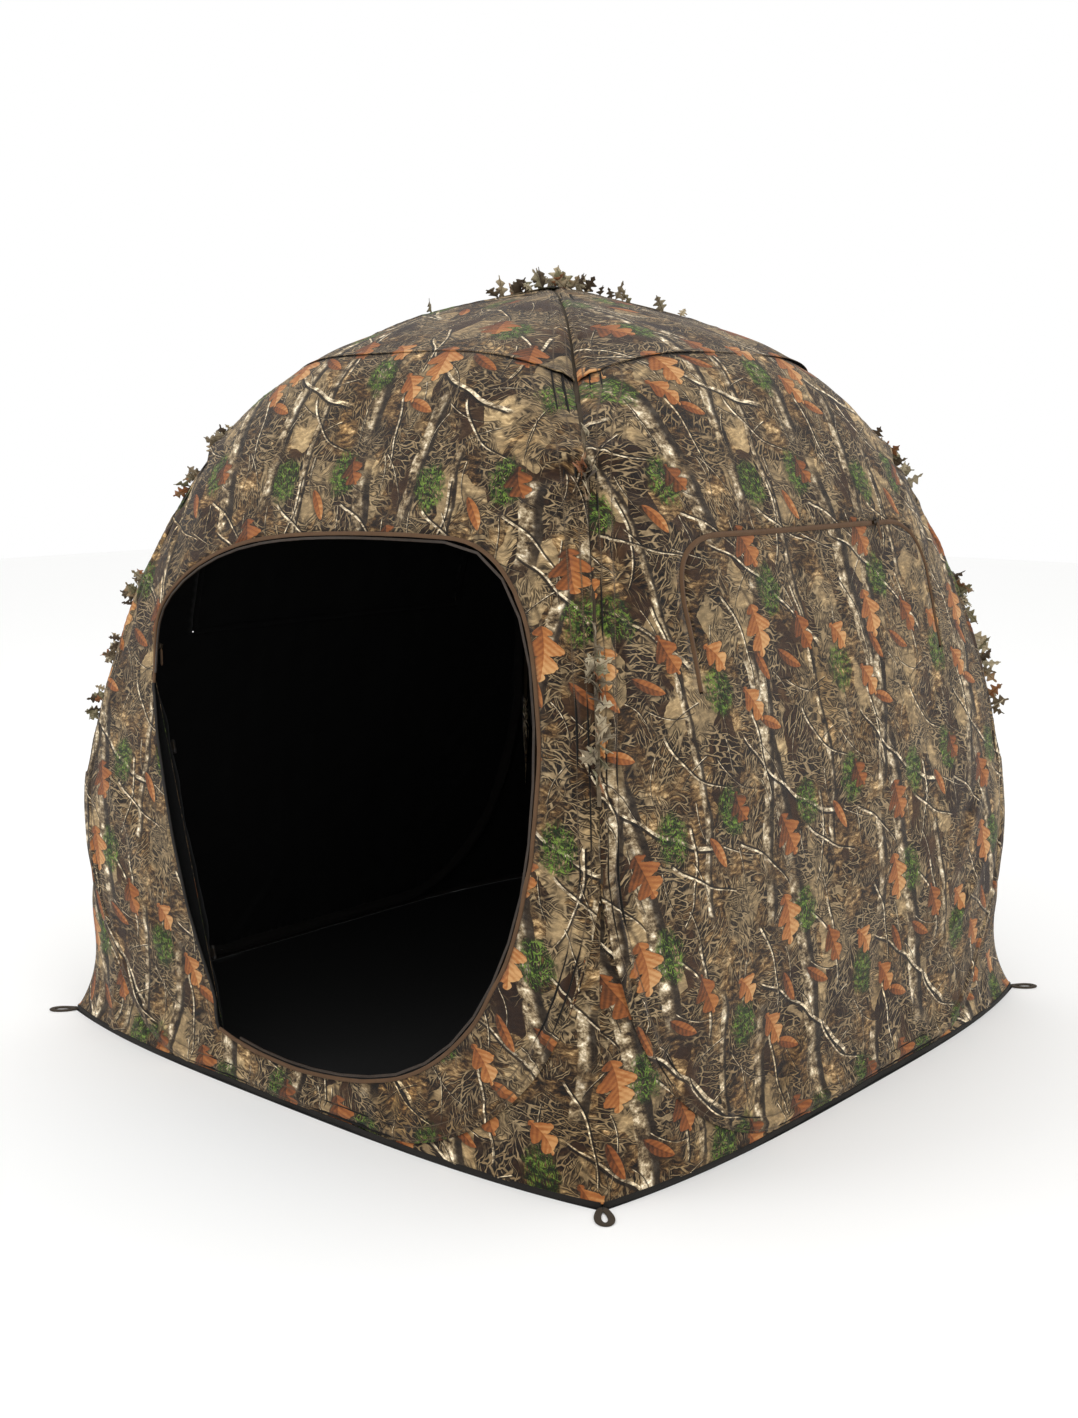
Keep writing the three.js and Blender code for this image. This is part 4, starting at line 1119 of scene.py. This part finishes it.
def leaf_trim(name, roots, outward, along, replaces, quarters, seed):
    """Die-cut leaves sewn along a seam in clusters, with the narrow tape that holds them."""
    rng = np.random.default_rng(seed)
    parts, uvs, tints = [], [], []
    phase = rng.uniform(0, 2 * math.pi)
    for i, (root, out, run) in enumerate(zip(roots, outward, along)):
        side = np.cross(out, run)
        thick = 0.5 + 0.5 * math.sin(i * 0.75 + phase)
        if "roof" in name:
            thick = 1.1 * math.exp(-(np.linalg.norm(root[:2]) / 0.11) ** 2) + 0.10
        for _ in range(rng.binomial(4, min(thick, 1) * 0.75)):
            way = (out * rng.uniform(0.45, 1.1) + run * rng.uniform(-0.9, 0.7)
                   + side * rng.uniform(-0.8, 0.8))
            size = rng.uniform(0.024, 0.050)
            verts, faces, uv = leaf_card(root + run * rng.uniform(-0.012, 0.012), way,
                                         side + run * rng.uniform(-0.8, 0.8), size, rng)
            parts.append((verts, faces))
            uvs.append(uv)
            tints.append(np.full(len(verts), rng.uniform(0, 1)))
    tape = np.asarray(roots)
    verts, faces, uv = sweep(tape, np.asarray(outward), rounded(0.007, 0.0016))
    parts.append((verts, faces))
    uvs.append(uv)
    tints.append(np.full(len(verts), 0.2))
    verts, faces = join(parts)
    trim = piece(name, turned(verts, quarters), faces, [LEAF_CLOTH], np.vstack(uvs),
                 layers={"tint": np.concatenate(tints)})
    thicken(trim, 0.0006, offset=0.0)
    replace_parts(trim, replaces)
    return trim


def corner_path(low, high, step):
    z = np.arange(low, high, step)
    reach = corner_reach(z)
    points = np.stack([reach - 0.004, -reach + 0.004, z], 1)
    out = np.tile([math.sqrt(0.5), -math.sqrt(0.5), 0.15], (len(z), 1))
    run = np.gradient(points, axis=0)
    run /= np.linalg.norm(run, axis=1, keepdims=True)
    return points, out, run


def all_leaf_trim():
    lower, upper = corner_path(0.700, 1.012, 0.017), corner_path(1.215, 1.345, 0.014)
    for k, corner in enumerate(CORNERS):
        leaf_trim(f"{corner}_lower_leaves", *lower, f"leaf_strip_lower_{corner}", k, 300 + k)
        leaf_trim(f"{corner}_upper_leaves", *upper, f"leaf_strip_upper_{corner}", k, 320 + k)
    run = np.arange(-0.335, 0.336, 0.018)
    t = np.linspace(0.6, 1, 4000)
    profile = spline(CORNER_PROFILE, t)
    z = np.interp(np.abs(run), profile[::-1, 0] * math.sqrt(2), profile[::-1, 1])
    points = np.stack([run * math.sqrt(0.5), run * math.sqrt(0.5), z + 0.002], 1)
    way = np.gradient(points, axis=0)
    way /= np.linalg.norm(way, axis=1, keepdims=True)
    leaf_trim("roof_leaves", points, np.tile([0.0, 0.0, 1.0], (len(run), 1)), way,
              "leaf_strip_roof", 0, 350)


# ---- Door flap, rolled and tied back ----------------------------------------------------------
def hinge_frame():
    """The hinge seam's origin and its axes: along it, behind the wall, and inwards."""
    (low, high), normals = on_wall(np.array([DOOR_SILL[0], DOOR_HINGE_TOP[0]]),
                                   np.array([DOOR_SILL[1], DOOR_HINGE_TOP[1]]), -0.012)
    along = (high - low) / np.linalg.norm(high - low)
    inward = -(normals[0] + normals[1])
    inward /= np.linalg.norm(inward)
    sideways = np.cross(along, inward)
    sideways /= np.linalg.norm(sideways)
    sideways *= -np.sign(sideways[0])
    inward = inward - along * (inward @ along)
    return low, along, sideways, inward / np.linalg.norm(inward)


ROLL = {"radius": 0.033, "across": 0.098, "inward": 0.042, "from": -0.018, "to": 0.798,
        "turns": 8.2, "core": 0.005}
ROLL_START = math.radians(272)
TIES = {"lower": 0.170, "upper": 0.640}


def roll_point(distance, sideways, inward):
    origin, along, side_way, in_way = hinge_frame()
    d, s, n = (np.asarray(v)[..., None] for v in (distance, sideways, inward))
    return origin + along * d + side_way * s + in_way * n


def flap_roll():
    """The flap wound on itself like a blind, drawn in by its two ties."""
    rows, turns = 44, ROLL["turns"]
    phi = np.linspace(0, turns * 2 * math.pi, int(turns * 26))
    distance = np.linspace(ROLL["from"], ROLL["to"], rows)
    verts = []
    for i, d in enumerate(distance):
        waist = 1 - 0.13 * sum(math.exp(-((d - tie) / 0.030) ** 2) for tie in TIES.values())
        taper = (1 - 0.30 * math.exp(-((d - ROLL["from"]) / 0.05))
                 - 0.35 * math.exp(-((ROLL["to"] - d) / 0.06)))
        radius = ROLL["core"] + (ROLL["radius"] - ROLL["core"]) * (1 - phi / phi[-1])
        wobble = 1 + 0.035 * np.sin(3 * phi + d * 40) + 0.02 * np.sin(phi * 1.3 + d * 95)
        radius = radius * waist * taper * wobble
        angle = ROLL_START + phi
        lean = 0.004 * math.sin(d * 17)
        s = ROLL["across"] + lean + radius * np.cos(angle)
        n = ROLL["inward"] + radius * np.sin(angle)
        lead = np.linspace(0, 1, 12)[:-1]
        s = np.concatenate([0.005 + (s[0] - 0.005) * lead, s])
        n = np.concatenate([0.003 + (n[0] - 0.003) * lead - 0.003 * np.sin(lead * math.pi), n])
        verts.append(roll_point(np.full(len(s), d), s, n))
    verts = np.array(verts)
    columns = verts.shape[1]
    run = np.concatenate([[0], np.cumsum(np.linalg.norm(np.diff(verts[rows // 2], axis=0), axis=1))])
    uv = np.stack([np.broadcast_to(run, (rows, columns)),
                   np.broadcast_to(distance[:, None], (rows, columns))], -1)
    roll = piece("door_flap_roll", verts.reshape(-1, 3), grid_faces(rows, columns), [PRINT, INSIDE],
                 uv.reshape(-1, 2),
                 body="door_flap")
    thicken(roll, 0.0006, inner=1)
    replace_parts(roll, "door_flap")
    door = door_line()
    shifted = np.roll(door, -1, axis=0)
    cut = abs(float((door[:, 0] * shifted[:, 1] - shifted[:, 0] * door[:, 1]).sum())) / 2


def ties():
    for name, distance in TIES.items():
        angle = np.radians(np.linspace(278, 480, 30))
        reach = ROLL["radius"] + 0.0026
        s = ROLL["across"] + reach * np.cos(angle)
        n = ROLL["inward"] + reach * np.sin(angle)
        path = roll_point(np.full(len(s), distance), s, n)
        centre = roll_point(distance, ROLL["across"], ROLL["inward"])
        normals = path - centre
        normals /= np.linalg.norm(normals, axis=1, keepdims=True)
        verts, faces, uv = sweep(path, normals, rounded(0.019, 0.0020))
        strap = piece(f"door_tie_{name}_strap", verts, faces, [WEBBING], uv, body="door_flap")
        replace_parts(strap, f"door_tie_{name}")
        t = np.linspace(0, 1, 24)
        reach = (0.005 * np.sqrt(np.clip(1 - (2 * t - 1) ** 8, 0, 1))
                 * (1 - 0.18 * np.exp(-((t - 0.5) / 0.10) ** 2)))
        rings = []
        for a in np.linspace(0, 2 * math.pi, 16, endpoint=False):
            n = ROLL["inward"] + ROLL["radius"] + 0.0098 + reach * math.sin(a)
            rings.append(roll_point(distance + (t - 0.5) * 0.034, ROLL["across"] + reach * math.cos(a), n))
        rings = np.array(rings).transpose(1, 0, 2)
        faces = grid_faces(24, 16, wrap=True)
        faces += [tuple(range(16))[::-1], tuple(23 * 16 + j for j in range(16))]
        faces = outward(rings, faces)
        piece(f"door_tie_{name}_toggle", rings.reshape(-1, 3), faces, [TOGGLE], body="door_flap")


# ---- Pulls and stake loops --------------------------------------------------------------------
def pull_tab(name, body, replaces):
    """A folded tape tab with a stitched tip, in the place of its plain CAD tab."""
    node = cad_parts[replaces]
    co = np.array([v.co for v in node.data.vertices], float)
    centre = co.mean(0)
    spread = np.linalg.svd(co - centre, full_matrices=False)[2]
    long_way, wide_way, thin_way = spread
    if long_way[2] > 0:
        long_way = -long_way
    reach = [np.ptp((co - centre) @ w) for w in (long_way, wide_way, thin_way)]
    t = np.linspace(-0.5, 0.5, 30)
    half = (reach[1] / 2 * np.clip(0.62 + 3.2 * (t + 0.5), 0, 1)
            * np.sqrt(np.clip(1 - ((t - 0.02) / 0.485) ** 14, 0.25, 1)))
    thick = reach[2] / 2 * (0.72 + 0.28 * bell(t - 0.36, 0.05) + 0.28 * bell(t + 0.34, 0.05))
    rings = []
    for along, h, d in zip(t, half, thick):
        ring = [(math.cos(a), math.sin(a)) for a in np.linspace(0, 2 * math.pi, 16, endpoint=False)]
        ring = [(np.sign(c) * abs(c) ** 0.35, np.sign(s) * abs(s) ** 0.6) for c, s in ring]
        rings.append([centre + long_way * along * reach[0] + wide_way * c * h + thin_way * s * d
                      for c, s in ring])
    rings = np.array(rings)
    faces = grid_faces(30, 16, wrap=True) + [tuple(range(16))[::-1], tuple(29 * 16 + j for j in range(16))]
    faces = outward(rings, faces)
    uv = np.stack(np.meshgrid(np.linspace(0, 0.02, 16), (t + 0.5) * reach[0]), -1).reshape(-1, 2)
    tab = piece(name, rings.reshape(-1, 3), faces, [PULL_TAPE], uv, body=body)
    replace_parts(tab, replaces)


def stake_loops():
    """Webbing loops that lie flat outside the corners, folded to a teardrop."""
    t = np.linspace(0, 1, 90)
    along = 0.028 + 0.0275 * np.cos(2 * math.pi * t)
    beside = 0.0145 * np.sin(2 * math.pi * t) * (0.60 + 0.40 * (along - along.min()) / np.ptp(along))
    lift = 0.0016 + 0.0012 * bell(along - along.min(), 0.010)
    way, side = np.array([1, -1, 0]) * math.sqrt(0.5), np.array([1, 1, 0]) * math.sqrt(0.5)
    root = np.array([CORNER_PROFILE[0][0] + 0.0025, -CORNER_PROFILE[0][0] - 0.0025, 0])
    path = root + way * along[:, None] + side * beside[:, None] + np.array([0, 0, 1]) * lift[:, None]
    normals = np.tile([0.0, 0.0, 1.0], (len(t), 1))
    verts, faces, uv = sweep(path[:-1], normals[:-1], rounded(0.0130, 0.0026), closed=True)
    for k, corner in enumerate(CORNERS):
        loop = piece(f"{corner}_stake_loop", turned(verts, k), faces, [WEBBING], uv,
                     body=f"stake_loop_{corner}")
        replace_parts(loop, f"stake_loop_{corner}")


def apex_patch():
    """The round reinforcement where the four gores meet."""
    rings, spokes = 8, 40
    r, a = np.meshgrid(np.linspace(0.0006, 0.034, rings),
                       np.linspace(0, 2 * math.pi, spokes, endpoint=False))
    square = 0.5 * (np.abs(np.cos(2 * (a - math.pi / 4))))
    z = 1.6592 - 0.16 * r - 0.06 * r * square
    verts = np.stack([r * np.cos(a), r * np.sin(a), z], -1).transpose(1, 0, 2).reshape(-1, 3)
    faces = grid_faces(rings, spokes, wrap=True)
    patch = piece("apex_patch", verts, faces, [PRINT, INSIDE], verts[:, :2])
    thicken(patch, inner=1)


def hard_parts():
    for name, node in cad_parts.items():
        material = next((m for key, m in (("ferrule", FERRULE), ("sleeve", SLEEVE_TAPE), ("hoop", STEEL),
                                          ("slider", SLIDER), ("zip", CHAIN)) if key in name), None)
        if material and not node.hide_render:
            for spot in node.material_slots:
                spot.material = material


# ---- Floor, light and camera ------------------------------------------------------------------
def stage():
    size = 14.0
    mesh = bpy.data.meshes.new("floor")
    mesh.from_pydata([(-size, -size, 0), (size, -size, 0), (size, size, 0), (-size, size, 0)], [],
                     [(0, 1, 2, 3)])
    floor = bpy.data.objects.new("floor", mesh)
    bpy.context.scene.collection.objects.link(floor)
    sh = Shader("pale_floor_painted_shade", 0.9)
    split = sh.add("ShaderNodeSeparateXYZ")
    sh.plug(split.inputs[0], sh.place())
    # painted shade: the floor inside the blind's footprint, out to just past the hem, is painted near
    # black in place of the shade inside the cabin
    across_x, across_y = sh.math("ABSOLUTE", split.outputs[0]), sh.math("ABSOLUTE", split.outputs[1])
    low = sh.math("DIVIDE", sh.math("MINIMUM", across_x, across_y), 0.79)
    reach = sh.sum(sh.math("MAXIMUM", across_x, across_y),
                   sh.math("MULTIPLY", sh.math("POWER", low, 3.2), 0.058))
    painted_shade_inside = sh.step(reach, 0.8560, 0.8550)
    mesh.materials.append(sh.done(sh.mix(painted_shade_inside, rgb(250, 250, 249), rgb(4, 4, 4))))
    floor.location.z = -0.0002


def lights():
    world = bpy.data.worlds.new("studio")
    bpy.context.scene.world = world
    world.use_nodes = True
    world.node_tree.nodes["Background"].inputs[0].default_value = (1, 1, 1, 1)
    world.node_tree.nodes["Background"].inputs[1].default_value = 1.0
    for name, place, size, power in (("key", (-3.2, -5.0, 5.2), 3.0, 60),
                                     ("fill", (5.6, -2.2, 3.8), 3.0, 45),
                                     ("top", (0.0, 0.5, 6.5), 4.0, 50)):
        light = bpy.data.lights.new(name, "AREA")
        light.size, light.energy = size, power
        lamp = bpy.data.objects.new(name, light)
        lamp.location = place
        lamp.rotation_euler = (Vector((0, 0, 0.8)) - Vector(place)).to_track_quat("-Z", "Y").to_euler()
        bpy.context.scene.collection.objects.link(lamp)


def camera():
    """Eye height, seen from 40.6 degrees to the right of the door."""
    azimuth, elevation, distance = math.radians(40.60), math.radians(8.13), 3.906
    pan, tilt = math.radians(-0.475), math.radians(-1.144)
    back = Vector((math.sin(azimuth) * math.cos(elevation), -math.cos(azimuth) * math.cos(elevation),
                   math.sin(elevation)))
    forward = -back
    right = forward.cross(Vector((0, 0, 1))).normalized()
    up = right.cross(forward)
    forward, right = (forward * math.cos(pan) + right * math.sin(pan),
                      right * math.cos(pan) - forward * math.sin(pan))
    forward, up = (forward * math.cos(tilt) + up * math.sin(tilt),
                   up * math.cos(tilt) - forward * math.sin(tilt))
    lens = bpy.data.cameras.new("camera")
    lens.lens, lens.sensor_width = 42.7, 36.0
    eye = bpy.data.objects.new("camera", lens)
    turn = Matrix((right, up, -forward)).transposed().to_4x4()
    eye.matrix_world = Matrix.Translation(Vector((0, 0, 0.78)) + back * distance) @ turn
    bpy.context.scene.collection.objects.link(eye)
    bpy.context.scene.camera = eye
    bpy.context.scene.view_settings.view_transform = "Standard"


camera()
stage()
lights()
hem_pieces = hems()
for side_name, (wall_piece, cut_size, cut_area) in walls().items():
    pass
window_covers()
gussets()
roof()
corner_seams()
apex_patch()
door_trim()
window_zips()
window_facings()
sleeves()
all_leaf_trim()
flap_roll()
ties()
for side_name in ("right", "back", "left"):
    pull_tab(f"{side_name}_pull_tab", f"window_pull_{side_name}", f"window_pull_{side_name}")
pull_tab("door_pull_tab", "door_pull", "door_pull")
stake_loops()
hard_parts()

bpy.context.view_layer.update()
